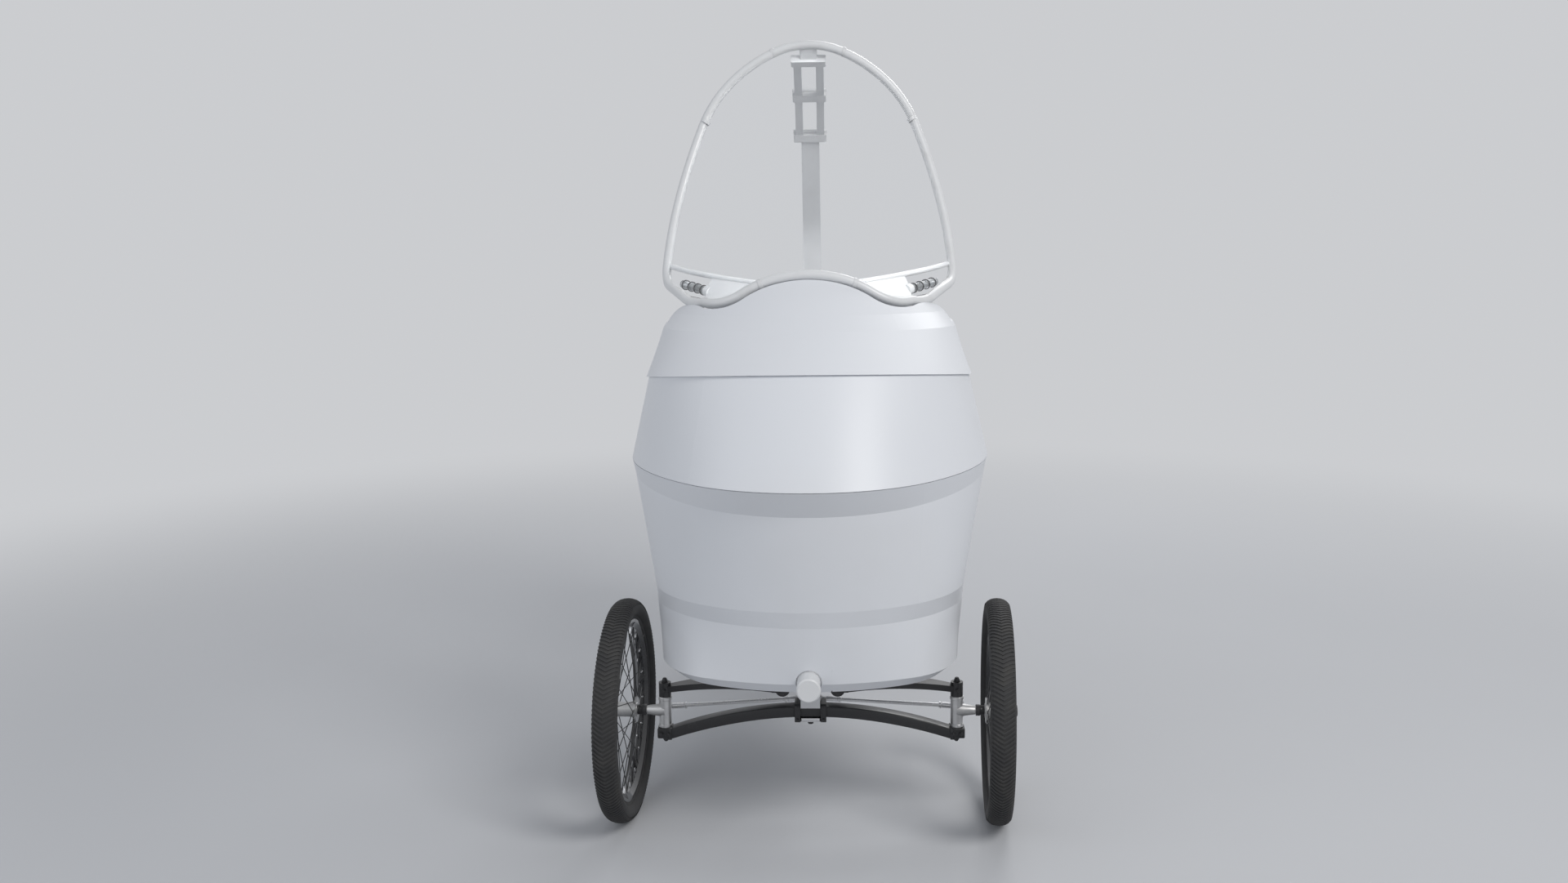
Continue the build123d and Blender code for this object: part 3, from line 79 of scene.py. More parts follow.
aim = Vector((
    math.sin(CAMERA_YAW) * math.cos(CAMERA_PITCH),
    math.cos(CAMERA_YAW) * math.cos(CAMERA_PITCH),
    -math.sin(CAMERA_PITCH),
))
level_right = aim.cross(Vector((0, 0, 1))).normalized()
level_up = level_right.cross(aim)
camera_right = level_right * math.cos(CAMERA_ROLL) - level_up * math.sin(CAMERA_ROLL)
camera_up = level_right * math.sin(CAMERA_ROLL) + level_up * math.cos(CAMERA_ROLL)
lens = bpy.data.cameras.new("photo_camera")
lens.sensor_fit = "HORIZONTAL"
lens.sensor_width = 36.0
lens.lens = FOCAL_PIXELS / PHOTO_WIDTH * lens.sensor_width
camera = bpy.data.objects.new("photo_camera", lens)
bpy.context.scene.collection.objects.link(camera)
camera.matrix_world = Matrix.Translation(CAMERA_AT) @ Matrix((
    camera_right, camera_up, -aim,
)).transposed().to_4x4()
bpy.context.scene.camera = camera


# ---------------------------------------------------------------- shader maths
class Value:
    """A socket of a material, with Python's operators as Math nodes."""

    def __init__(self, nodes, socket):
        self.nodes = nodes
        self.socket = socket

    def _maths(self, operation, first, second):
        return self.nodes.node("ShaderNodeMath", {"operation": operation}, {0: first, 1: second})

    def __add__(self, other):
        return self._maths("ADD", self, other)

    def __radd__(self, other):
        return self._maths("ADD", other, self)

    def __sub__(self, other):
        return self._maths("SUBTRACT", self, other)

    def __rsub__(self, other):
        return self._maths("SUBTRACT", other, self)

    def __mul__(self, other):
        return self._maths("MULTIPLY", self, other)

    def __rmul__(self, other):
        return self._maths("MULTIPLY", other, self)

    def most(self, other):
        return self._maths("MAXIMUM", self, other)

    def wave(self):
        return self._maths("SINE", self, 0.0)


class Nodes:
    """The nodes of one tree, all made by one method."""

    def __init__(self, tree):
        self.tree = tree

    def feed(self, socket, value):
        if isinstance(value, Value):
            self.tree.links.new(value.socket, socket)
        elif isinstance(value, tuple) and len(value) == 3 and socket.type == "RGBA":
            socket.default_value = (*value, 1.0)
        else:
            socket.default_value = value

    def node(self, kind, settings=None, sockets=None, output=0):
        made = self.tree.nodes.new(kind)
        for key, value in (settings or {}).items():
            setattr(made, key, value)
        for key, value in (sockets or {}).items():
            self.feed(made.inputs[key], value)
        return Value(self, made.outputs[output])

    def ray(self, kind):
        return self.node("ShaderNodeLightPath", output=kind)

    def mix_shaders(self, share, first, second, end):
        mixed = self.node("ShaderNodeMixShader", {}, {0: share, 1: first, 2: second})
        self.tree.links.new(mixed.socket, self.tree.nodes[end].inputs["Surface"])


class Finish(Nodes):
    """A material made from its nodes, with one Principled shader."""

    def __init__(self, name, colour, roughness, metallic=0.0, **plain):
        self.material = bpy.data.materials.new(name)
        self.material.use_nodes = True
        super().__init__(self.material.node_tree)
        self.shader = self.tree.nodes["Principled BSDF"]
        self.shading = Value(self, self.shader.outputs["BSDF"])
        self.set("Base Color", colour)
        self.set("Roughness", roughness)
        self.set("Metallic", metallic)
        for socket, value in plain.items():
            self.set(socket.replace("_", " "), value)
        self.material.diffuse_color = (*colour, 1.0)

    def set(self, socket, value):
        self.feed(self.shader.inputs[socket], value)

    def vectors(self, operation, sockets, output="Vector"):
        return self.node("ShaderNodeVectorMath", {"operation": operation}, sockets, output)

    def place(self, at=(0, 0, 0), turn=(0, 0, 0), scale=(1, 1, 1)):
        """Object coordinates about a point, turned and scaled."""
        here = self.node("ShaderNodeTexCoord", output="Object")
        moved = self.vectors("SUBTRACT", {0: here, 1: at})
        return self.node(
            "ShaderNodeMapping", {"vector_type": "POINT"},
            {"Vector": moved, "Rotation": turn, "Scale": scale},
        )

    def axes(self, vector):
        return [
            self.node("ShaderNodeSeparateXYZ", {}, {0: vector}, output=axis) for axis in "XYZ"
        ]

    def noise(self, scale, vector=None, detail=3.0, roughness=0.5):
        return self.node("ShaderNodeTexNoise", {}, {
            "Vector": vector or self.place(), "Scale": scale, "Detail": detail,
            "Roughness": roughness,
        })

    def span(self, value, low, high, out_low=0.0, out_high=1.0):
        return self.node(
            "ShaderNodeMapRange", {"clamp": True, "interpolation_type": "SMOOTHSTEP"},
            {
                "Value": value, "From Min": low, "From Max": high,
                "To Min": out_low, "To Max": out_high,
            },
        )

    def blend(self, mask, first, second):
        return self.node(
            "ShaderNodeMix", {"data_type": "RGBA"}, {0: mask, 6: first, 7: second}, output=2
        )

    def colour(self, mask, first, second):
        self.set("Base Color", self.blend(mask, first, second))

    def let_light_through(self, tint):
        """Lamps shine through the clear material, as Cycles lets no lamp do by itself."""
        veil = self.node("ShaderNodeBsdfTransparent", {}, {"Color": tint})
        self.mix_shaders(self.ray("Is Shadow Ray"), self.shading, veil, "Material Output")

    def bump(self, height, strength, distance):
        self.set("Normal", self.node(
            "ShaderNodeBump", {}, {"Height": height, "Strength": strength, "Distance": distance}
        ))


# ---------------------------------------------------------------- finishes
def shell_white():
    """Satin white moulding: faint orange peel, and grey clouding in streaks, stronger towards the
    bottom.
    """
    f = Finish(
        "shell_white", (0.70, 0.72, 0.755), 0.42, Coat_Weight=0.12, Coat_Roughness=0.3, IOR=1.45
    )
    cloud = f.noise(2.3, detail=4.0)
    # Grey clouding in random streaks, made stronger towards the bottom of the moulding
    low = 1.0 - f.span(f.axes(f.place())[2], 0.36, 0.62)
    grey_clouding = (low * 0.5 + 0.25) * f.span(cloud, 0.42, 0.75)
    f.colour(grey_clouding, (0.70, 0.72, 0.755), (0.62, 0.625, 0.635))
    f.set("Roughness", grey_clouding * 0.14 + cloud * 0.08 + 0.36)
    f.bump(f.noise(420.0, detail=1.5) + f.noise(9.0) * 2.0, 0.045, 0.0015)
    return f.material


def tube_white():
    """Satin white paint on the windshield's tube."""
    f = Finish("tube_white", (0.68, 0.69, 0.70), 0.38, Coat_Weight=0.15, Coat_Roughness=0.25)
    cloud = f.noise(14.0)
    f.colour(f.span(cloud, 0.5, 0.8), (0.68, 0.69, 0.70), (0.61, 0.615, 0.62))
    f.set("Roughness", cloud * 0.14 + 0.27)
    f.bump(f.noise(160.0, detail=1.0), 0.02, 0.0004)
    return f.material


def frame_grey():
    """Powder coat of the frame, light grey with a fine texture."""
    f = Finish("frame_grey", (0.68, 0.69, 0.70), 0.42, Coat_Weight=0.1, Coat_Roughness=0.3)
    cloud = f.noise(6.0, detail=5.0)
    f.colour(f.span(cloud, 0.35, 0.72), (0.69, 0.70, 0.71), (0.62, 0.625, 0.635))
    f.set("Roughness", f.noise(60.0) * 0.2 + 0.33)
    f.bump(f.noise(900.0, detail=2.0), 0.16, 0.0006)
    return f.material


def cast_alloy():
    """Bead-blasted cast alloy with darker, rougher hollows."""
    f = Finish("cast_alloy", (0.62, 0.62, 0.62), 0.38, 1.0)
    grain = f.noise(260.0, detail=4.0, roughness=0.7)
    patch = f.noise(22.0)
    f.colour(f.span(patch, 0.35, 0.7), (0.68, 0.68, 0.675), (0.52, 0.52, 0.525))
    f.set("Roughness", grain * 0.22 + patch * 0.14 + 0.24)
    f.bump(grain, 0.22, 0.0006)
    return f.material


def bright_steel():
    """Zinc plated steel with fine drawing lines along X."""
    f = Finish("bright_steel", (0.66, 0.66, 0.67), 0.26, 1.0)
    lines = f.noise(90.0, f.place(scale=(1, 14, 14)), detail=3.0)
    f.colour(f.span(lines, 0.3, 0.75), (0.70, 0.70, 0.71), (0.56, 0.56, 0.565))
    f.set("Roughness", lines * 0.2 + 0.2)
    f.bump(lines, 0.1, 0.0004)
    return f.material


def spring_black():
    """Satin black coat of the suspension, worn to grey at its rubbed places."""
    f = Finish("spring_black", (0.03, 0.03, 0.032), 0.4, Coat_Weight=0.15, Coat_Roughness=0.25)
    fine = f.noise(180.0, detail=5.0, roughness=0.65)
    patch = f.noise(17.0, detail=3.0)
    rub = f.span(fine * 0.5 + patch * 0.5, 0.56, 0.68)
    f.colour(rub * 0.4, (0.018, 0.018, 0.020), (0.09, 0.09, 0.09))
    f.set("Roughness", patch * 0.2 + rub * 0.2 + 0.3)
    f.bump(fine, 0.14, 0.0006)
    return f.material


def hub_metal(side):
    """Front hub: bare cast metal near the axle, black spokes beyond it."""
    f = Finish(f"hub_metal_{side}", (0.5, 0.5, 0.5), 0.34, 0.9)
    run = (math.cos(STEER_REST), math.sin(STEER_REST), 0.0)
    out = f.place(at=WHEELS_AT[side])
    along = f.vectors("DOT_PRODUCT", {0: out, 1: run}, "Value")
    line = f.vectors("SCALE", {0: run, "Scale": along})
    across = f.vectors("SUBTRACT", {0: out, 1: line})
    spoke = f.span(f.vectors("LENGTH", {0: across}, "Value"), 0.0300, 0.0312)
    grain = f.noise(240.0, detail=4.0)
    bare = f.blend(grain, (0.50, 0.50, 0.50), (0.64, 0.64, 0.635))
    f.colour(spoke, bare, (0.03, 0.03, 0.032))
    f.set("Metallic", 1.0 - spoke * 0.8)
    f.set("Roughness", grain * 0.2 + 0.24)
    f.bump(grain, 0.15, 0.0005)
    return f.material


def rim_black():
    """Gloss black rim with a faint haze of road dust."""
    f = Finish("rim_black", (0.02, 0.02, 0.022), 0.16, Coat_Weight=0.6, Coat_Roughness=0.05)
    haze = f.noise(40.0, detail=4.0)
    f.colour(f.span(haze, 0.5, 0.8), (0.018, 0.018, 0.02), (0.06, 0.058, 0.055))
    f.set("Roughness", f.span(haze, 0.4, 0.85, 0.12, 0.36))
    return f.material


def tyre_rubber():
    """Black rubber, matte, with grey dust on the crown."""
    f = Finish("tyre_rubber", (0.035, 0.035, 0.036), 0.72, Specular_IOR_Level=0.35)
    grain = f.noise(500.0, detail=3.0)
    patch = f.noise(30.0, detail=4.0)
    f.colour(f.span(patch, 0.35, 0.85), (0.038, 0.038, 0.039), (0.056, 0.055, 0.053))
    f.set("Roughness", patch * 0.18 + 0.62)
    f.bump(grain + patch, 0.2, 0.0008)
    return f.material


def clear_pane():
    """Clear bent plastic, almost without colour."""
    f = Finish("clear_pane", (0.99, 0.995, 1.0), 0.015, IOR=1.35, Transmission_Weight=1.0)
    f.set("Roughness", f.span(f.noise(7.0, detail=5.0), 0.55, 0.9, 0.01, 0.07))
    f.let_light_through((0.93, 0.94, 0.95))
    return f.material


def lamp_clear():
    """Ribbed clear moulding of the lamps, a little frosted."""
    f = Finish("lamp_clear", (0.90, 0.93, 0.95), 0.08, IOR=1.45, Transmission_Weight=0.9)
    frost = f.noise(300.0, detail=2.0)
    f.set("Roughness", f.span(frost, 0.35, 0.75, 0.04, 0.22))
    f.bump(frost, 0.1, 0.0005)
    return f.material


def seat_weave():
    """Dark grey woven seat cloth, over and under at 2 mm."""
    f = Finish("seat_weave", (0.09, 0.09, 0.10), 0.85, Sheen_Weight=0.35, Sheen_Roughness=0.5)
    x, y, z = f.axes(f.place(scale=(1500, 1500, 1500)))
    warp = (x + z * 0.35).wave()
    weft = (y + z).wave()
    weave = (warp * weft) * 0.5 + 0.5
    fleck = f.noise(900.0)
    f.colour(weave * 0.6 + fleck * 0.4, (0.055, 0.056, 0.062), (0.14, 0.142, 0.152))
    f.set("Roughness", weave * 0.15 + 0.76)
    f.bump(weave + fleck * 0.5, 0.45, 0.0008)
    return f.material


def grip_rubber():
    """Soft rubber grips with fine rings."""
    f = Finish("grip_rubber", (0.04, 0.04, 0.04), 0.75, Specular_IOR_Level=0.35)
    along = f.axes(f.place(turn=(0, 0, -STEER_REST)))[1]
    rings = (along * 900.0).wave() * 0.5 + 0.5
    f.colour(rings, (0.025, 0.025, 0.026), (0.055, 0.055, 0.056))
    f.set("Roughness", rings * 0.15 + 0.65)
    f.bump(rings, 0.6, 0.0015)
    return f.material


def chain_steel():
    """Oiled dark chain steel."""
    f = Finish("chain_steel", (0.17, 0.165, 0.16), 0.38, 1.0)
    oil = f.noise(120.0, detail=4.0)
    f.colour(f.span(oil, 0.4, 0.7), (0.20, 0.195, 0.19), (0.07, 0.065, 0.06))
    f.set("Roughness", oil * 0.3 + 0.24)
    f.bump(oil, 0.15, 0.0004)
    return f.material


FINISHES = {
    "white_shell": shell_white(),
    "white_tube": tube_white(),
    "grey_frame": frame_grey(),
    "alloy": cast_alloy(),
    "steel": bright_steel(),
    "black_metal": spring_black(),
    "black_rim": rim_black(),
    "tyre": tyre_rubber(),
    "clear": clear_pane(),
    "lamp_clear": lamp_clear(),
    "seat_fabric": seat_weave(),
    "grip_rubber": grip_rubber(),
    "chain_steel": chain_steel(),
}
for part in frame["record"]["subparts"]:
    node = NODES[part["node"]]
    node.data.materials.clear()
    node.data.materials.append(FINISHES[part["material_slot"]])
for side in WHEELS_AT:
    NODES[f"hub_front_{side}"].data.materials[0] = hub_metal(side)


# ---------------------------------------------------------------- bench work
MERGE_GAP = 0.00001
NEAR = 0.0004


def deselect():
    bpy.ops.object.select_all(action="DESELECT")


def take(piece):
    """Select one piece alone and make it the active one."""
    deselect()
    piece.select_set(True)
    bpy.context.view_layer.objects.active = piece


def begin(name, add, **where):
    """Add a primitive at its size and place, and open it for editing."""
    deselect()
    add(**where)
    piece = bpy.context.object
    bpy.ops.object.transform_apply(location=True, rotation=True, scale=True)
    piece.name = name
    piece.data.name = name
    bpy.ops.object.mode_set(mode="EDIT")
    return piece


def block(name, at, size):
    return begin(name, bpy.ops.mesh.primitive_cube_add, size=1.0, location=at, scale=size)


def hexagon(name, radius, depth, middle):
    return begin(
        name, bpy.ops.mesh.primitive_cylinder_add, vertices=6, radius=radius, depth=depth,
        location=(0, 0, middle),
    )


def draw(name, points):
    """A line through the points, drawn by extruding one corner."""
    line = begin(name, bpy.ops.mesh.primitive_plane_add, size=0.001, location=points[0])
    bpy.ops.mesh.select_mode(type="VERT")
    bpy.ops.mesh.merge(type="CENTER")
    for here, there in zip(points, points[1:]):
        pull(there - here)
    select_all()
    return line


def select_all():
    bpy.ops.mesh.select_all(action="SELECT")


def pick(piece, kind, test):
    """Select the faces, edges or corners whose middle and normal pass the test."""
    bpy.ops.mesh.select_mode(type=kind)
    bpy.ops.mesh.select_all(action="DESELECT")
    mesh = bmesh.from_edit_mesh(piece.data)
    mesh.normal_update()
    if kind == "FACE":
        chosen = [face for face in mesh.faces if test(face.calc_center_median(), face.normal)]
    elif kind == "EDGE":
        chosen = [
            edge for edge in mesh.edges
            if test(
                (edge.verts[0].co + edge.verts[1].co) / 2,
                (edge.verts[1].co - edge.verts[0].co).normalized(),
            )
        ]
    else:
        chosen = [corner for corner in mesh.verts if test(corner.co, corner.normal)]
    for item in chosen:
        item.select = True
    mesh.select_flush_mode()
    bmesh.update_edit_mesh(piece.data)


def move(step):
    bpy.ops.transform.translate(value=step)


def pull(step):
    """Extrude what is selected."""
    bpy.ops.mesh.extrude_region_move(TRANSFORM_OT_translate={"value": step})


def inset(thickness, each=False):
    bpy.ops.mesh.inset(thickness=thickness, use_individual=each)


def cut(at, normal):
    """Slice the whole piece along a plane."""
    select_all()
    bpy.ops.mesh.bisect(plane_co=at, plane_no=normal)


def round_edges(width, segments):
    bpy.ops.mesh.bevel(offset=width, segments=segments, affect="EDGES")


def heal(piece):
    """Merge doubles, point the faces outwards and leave edit mode."""
    bpy.ops.mesh.select_mode(type="VERT")
    select_all()
    bpy.ops.mesh.remove_doubles(threshold=MERGE_GAP)
    bpy.ops.mesh.normals_make_consistent(inside=False)
    bpy.ops.object.mode_set(mode="OBJECT")


def smooth(piece, angle=35.0):
    take(piece)
    bpy.ops.object.shade_smooth_by_angle(angle=math.radians(angle))
    deselect()


def soften(piece, width, angle, segments=1):
    """Round the sharp edges a little and keep the result in the mesh."""
    bevel = piece.modifiers.new("soft_edges", "BEVEL")
    bevel.width = width
    bevel.segments = segments
    bevel.limit_method = "ANGLE"
    bevel.angle_limit = math.radians(angle)
    take(piece)
    bpy.ops.object.modifier_apply(modifier="soft_edges")


def machined(piece, width, angle=50.0, segments=1, shading=40.0):
    """Close a piece that is open for editing, with softened edges."""
    heal(piece)
    soften(piece, width, angle, segments)
    smooth(piece, shading)
    return piece


def rope(line, radius, rounding):
    """Give a drawn line a round section."""
    bpy.ops.object.mode_set(mode="OBJECT")
    take(line)
    bpy.ops.object.convert(target="CURVE")
    curve = bpy.context.object.data
    curve.bevel_depth = radius
    curve.bevel_resolution = rounding
    bpy.ops.object.convert(target="MESH")
    return bpy.context.object


def turned(name, outline, steps, at=(0, 0, 0), along=(0, 0, 1), angle=35.0):
    """Draw a section and spin it round an axis.

    The outline is a row of (distance along the axis, radius)."""
    axis = Vector(along).normalized()
    out = axis.orthogonal().normalized()
    piece = draw(name, [Vector(at) + axis * far + out * radius for far, radius in outline])
    bpy.ops.mesh.spin(steps=steps, angle=math.tau, center=at, axis=axis)
    heal(piece)
    smooth(piece, angle)
    return piece


def copy_of(master, name, move_by):
    """A copy with its own mesh, placed in its mesh."""
    twin = master.copy()
    twin.data = master.data.copy()
    twin.name = name
    twin.data.name = name
    twin.data.transform(move_by)
    if move_by.determinant() < 0:
        twin.data.flip_normals()
    bpy.context.scene.collection.objects.link(twin)
    return twin


def joined(name, pieces):
    """Join pieces of one kind into the first of them."""
    deselect()
    for piece in pieces:
        piece.select_set(True)
    bpy.context.view_layer.objects.active = pieces[0]
    if len(pieces) > 1:
        bpy.ops.object.join()
    pieces[0].name = name
    pieces[0].data.name = name
    deselect()
    return pieces[0]


def scrap(*pieces):
    for piece in pieces:
        bpy.data.objects.remove(piece, do_unlink=True)


def fit(piece, body, slot, finish=None, stands_for=()):
    """Give a piece its body, its finish and the nodes that it stands for."""
    piece.data.materials.clear()
    piece.data.materials.append(finish or FINISHES[slot])
    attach(piece, body)
    if stands_for:
        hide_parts(*stands_for)
    return piece


def pointing(at, direction, size=1.0, roll=0.0):
    """Place for a master that was modelled at the origin, along Z."""
    turn = Vector(direction).normalized().to_track_quat("Z", "Y").to_matrix().to_4x4()
    return Matrix.Translation(at) @ turn @ Matrix.Rotation(roll, 4, "Z") @ Matrix.Scale(size, 4)


# ---------------------------------------------------------------- wheels
# Each body with the place of its wheel's middle, and its tyre's node
WHEELS = {
    f"wheel_{side}": (Matrix.Translation(at) @ FRONT_TURN, f"tyre_front_{side}")
    for side, at in WHEELS_AT.items()
}
WHEELS["wheel_rear"] = (Matrix.Translation((0, REAR_AXLE_Y, AXLE_Z)), "tyre_rear")
TREAD_ROWS = 158
TREAD_DEEP = 0.0024
TREAD_LONG = 0.0056
TREAD_START = 0.2527
# Half of the tread's top line: distance from the middle, radius, and how far the bar trails
TREAD_LINE = (
    (0.0, 0.2538, -0.0070),
    (0.0073, 0.2534, -0.0026),
    (0.0146, 0.2514, 0.0020),
    (0.0210, 0.2477, 0.0060),
    (0.0262, 0.2419, 0.0078),
)
# Half of the carcass section, from the crown to the bead
CARCASS = (
    (0.0042, 0.2517),
    (0.0118, 0.2501),
    (0.0189, 0.2466),
    (0.0243, 0.2412),
    (0.0272, 0.2349),
    (0.0276, 0.2284),
    (0.0250, 0.2223),
    (0.0203, 0.2171),
    (0.0180, 0.2152),
    (0.0166, 0.2147),
    (0.0164, 0.2118),
    (0.0146, 0.2076),
)
SPOKES = 36
RIM_FLOOR = 0.1884
NIPPLE_STEP = 0.0035
# Turned pieces are given as rows of (distance along the axis, radius)
NIPPLE = ((0.0, 0.0), (0.0, 0.0020), (0.0036, 0.0024), (0.0110, 0.0017), (0.0115, 0.0))
VALVE = (
    (0.0, 0.0), (0.0, 0.0052), (0.0022, 0.0052), (0.0026, 0.0031), (0.0210, 0.0031),
    (0.0212, 0.0040), (0.0330, 0.0038), (0.0345, 0.0026), (0.0350, 0.0),
)
VALVE_TURN = math.radians(205.0)


def tread_bar():
    """One V of the tread with its two shoulder knobs, at the top of the wheel."""
    reach = TREAD_LINE[-1][0]
    start = TREAD_START
    bar = block("tread_bar", (reach / 2, 0, start), (reach, TREAD_LONG, TREAD_DEEP))
    for x, _, _ in TREAD_LINE[1:-1]:
        cut((x, 0, 0), (1, 0, 0))
    for i, (x, radius, trail) in enumerate(TREAD_LINE):
        before = TREAD_LINE[max(i - 1, 0)]
        after = TREAD_LINE[min(i + 1, len(TREAD_LINE) - 1)]
        lean = math.atan2(before[1] - after[1], after[0] - before[0])
        pick(bar, "VERT", lambda at, n: abs(at.x - x) < NEAR and at.z > start)
        move((0, trail, radius - start - TREAD_DEEP / 2))
        bpy.ops.transform.resize(value=(1, 0.8, 1), center_override=(x, trail, radius))
        low = start - TREAD_DEEP / 2
        pick(bar, "VERT", lambda at, n: abs(at.x - x) < NEAR and abs(at.z - low) < 0.0001)
        move((-math.sin(lean) * TREAD_DEEP, trail, radius - low - math.cos(lean) * TREAD_DEEP))
    pick(bar, "FACE", lambda at, n: n.z < -0.3 or (abs(at.x) < 0.0001 and n.x < -0.9))
    bpy.ops.mesh.delete(type="FACE")
    select_all()
    bpy.ops.mesh.duplicate()
    bpy.ops.transform.resize(value=(-1, 1, 1), center_override=(0, 0, 0))
    bpy.ops.mesh.flip_normals()
    select_all()
    bpy.ops.mesh.remove_doubles(threshold=MERGE_GAP)
    bpy.ops.object.mode_set(mode="OBJECT")
    return bar


def tyre_master():
    """Carcass spun round the axle, with the tread's bars set round it."""
    section = [*CARCASS, *[(-x, r) for x, r in reversed(CARCASS)], CARCASS[0]]
    carcass = turned("tyre", section, 96, along=(1, 0, 0), angle=40.0)
    bar = tread_bar()
    bars = [
        copy_of(bar, f"tread_bar_{i}", Matrix.Rotation(math.tau * i / TREAD_ROWS, 4, "X"))
        for i in range(TREAD_ROWS)
    ]
    scrap(bar)
    return joined("tyre", [carcass, *bars])


def nipples():
    """Plated nipples where the spokes meet the rim."""
    one = turned("nipple", NIPPLE, 8, along=(0, 0, -1))
    row = []
    for i in range(SPOKES):
        side = NIPPLE_STEP if i % 2 else -NIPPLE_STEP
        turn = Matrix.Rotation(math.tau * i / SPOKES - math.pi / 2, 4, "X")
        row.append(copy_of(one, f"nipple_{i}", turn @ Matrix.Translation((side, 0, RIM_FLOOR))))
    scrap(one)
    return joined("spoke_nipples", row)


def valve():
    """Tyre valve with its lock ring and cap, standing in from the rim."""
    return turned("valve", VALVE, 12, at=(0, 0, 0.1882), along=(0, 0, -1), angle=30.0)


def wheels():
    master, small, stem = tyre_master(), nipples(), valve()
    for body, (place, node) in WHEELS.items():
        fit(copy_of(master, node + "_treaded", place), body, "tyre", stands_for=(node,))
        fit(copy_of(small, body + "_nipples", place), body, "steel")
        turn = place @ Matrix.Rotation(VALVE_TURN, 4, "X")
        fit(copy_of(stem, body + "_valve", turn), body, "black_metal")
    scrap(master, small, stem)


# ---------------------------------------------------------------- chain
RING_PITCH_R = 0.083
SPROCKET_PITCH_R = 0.039
LINK_PITCH = 0.0127


def chain_line():
    """Length of the chain's loop, and its point and heading at a distance round it."""
    start = Vector((0, *CRANK_AT))
    finish = Vector((0, REAR_AXLE_Y, AXLE_Z))
    run = (finish - start).length
    forward = (finish - start) / run
    up = Vector((0, -forward.z, forward.y))
    tilt = math.asin((RING_PITCH_R - SPROCKET_PITCH_R) / run)
    straight = run * math.cos(tilt)
    big_arc = RING_PITCH_R * (math.pi + 2 * tilt)
    small_arc = SPROCKET_PITCH_R * (math.pi - 2 * tilt)
    loop = 2 * straight + big_arc + small_arc

    def around(centre, radius, angle):
        out = up * math.cos(angle) + forward * math.sin(angle)
        return centre + out * radius, forward * math.cos(angle) - up * math.sin(angle)

    def at(distance):
        distance %= loop
        if distance < straight:
            point, heading = around(start, RING_PITCH_R, tilt)
            return point + heading * distance, heading
        distance -= straight
        if distance < small_arc:
            return around(finish, SPROCKET_PITCH_R, tilt + distance / SPROCKET_PITCH_R)
        distance -= small_arc
        if distance < straight:
            point, heading = around(finish, SPROCKET_PITCH_R, math.pi - tilt)
            return point + heading * distance, heading
        distance -= straight
        return around(start, RING_PITCH_R, math.pi - tilt + distance / RING_PITCH_R)

    return loop, at


def chain_link(name, plate_x, bush_half, bush_r, pin):
    """Two waisted plates and what joins them, along Y from the first pin."""
    link = begin(
        name, bpy.ops.mesh.primitive_cylinder_add, vertices=12, radius=0.0038, depth=0.0009,
        location=(plate_x, 0, 0), rotation=(0, math.pi / 2, 0),
    )
    for side in (1, -1):
        pick(link, "VERT", lambda at, n: at.y * side > NEAR)
        move((0, side * LINK_PITCH / 2, 0))
    pick(link, "VERT", lambda at, n: abs(at.y) < NEAR)
    bpy.ops.transform.resize(value=(1, 1, 0.7))
    select_all()
    move((0, LINK_PITCH / 2, 0))
    bpy.ops.mesh.duplicate()
    move((-2 * plate_x, 0, 0))
    for y in (0.0, LINK_PITCH):
        bpy.ops.mesh.primitive_cylinder_add(
            vertices=8, radius=bush_r, depth=2 * bush_half, location=(0, y, 0),
            rotation=(0, math.pi / 2, 0), end_fill_type="NGON" if pin else "NOTHING",
        )
    heal(link)
    smooth(link, 50.0)
    return link


def chain():
    loop, at = chain_line()
    count = 2 * round(loop / LINK_PITCH / 2)
    inner = chain_link("inner_link", 0.0019, 0.0016, 0.0036, False)
    outer = chain_link("outer_link", 0.0029, 0.0035, 0.0019, True)
    pins = [at(loop * i / count)[0] for i in range(count + 1)]
    links = []
    for i, (here, there) in enumerate(zip(pins, pins[1:])):
        run = there - here
        turn = Matrix.Rotation(math.atan2(run.z, run.y), 4, "X")
        stretch = Matrix.Scale(run.length / LINK_PITCH, 4, (0, 1, 0))
        place = Matrix.Translation((CHAIN_X, here.y, here.z)) @ turn @ stretch
        links.append(copy_of(outer if i % 2 else inner, f"link_{i}", place))
    scrap(inner, outer)
    fit(joined("roller_chain", links), "frame", "chain_steel", stands_for=("chain",))


# ---------------------------------------------------------------- cushions
COVER_SWELL = 0.008
COVER_CROWN = 0.004
CHANNEL_HALF = 0.014
CHANNEL_DEEP = 0.0075
WELT_REACH = 0.006
WELT_DRAW = 0.0022


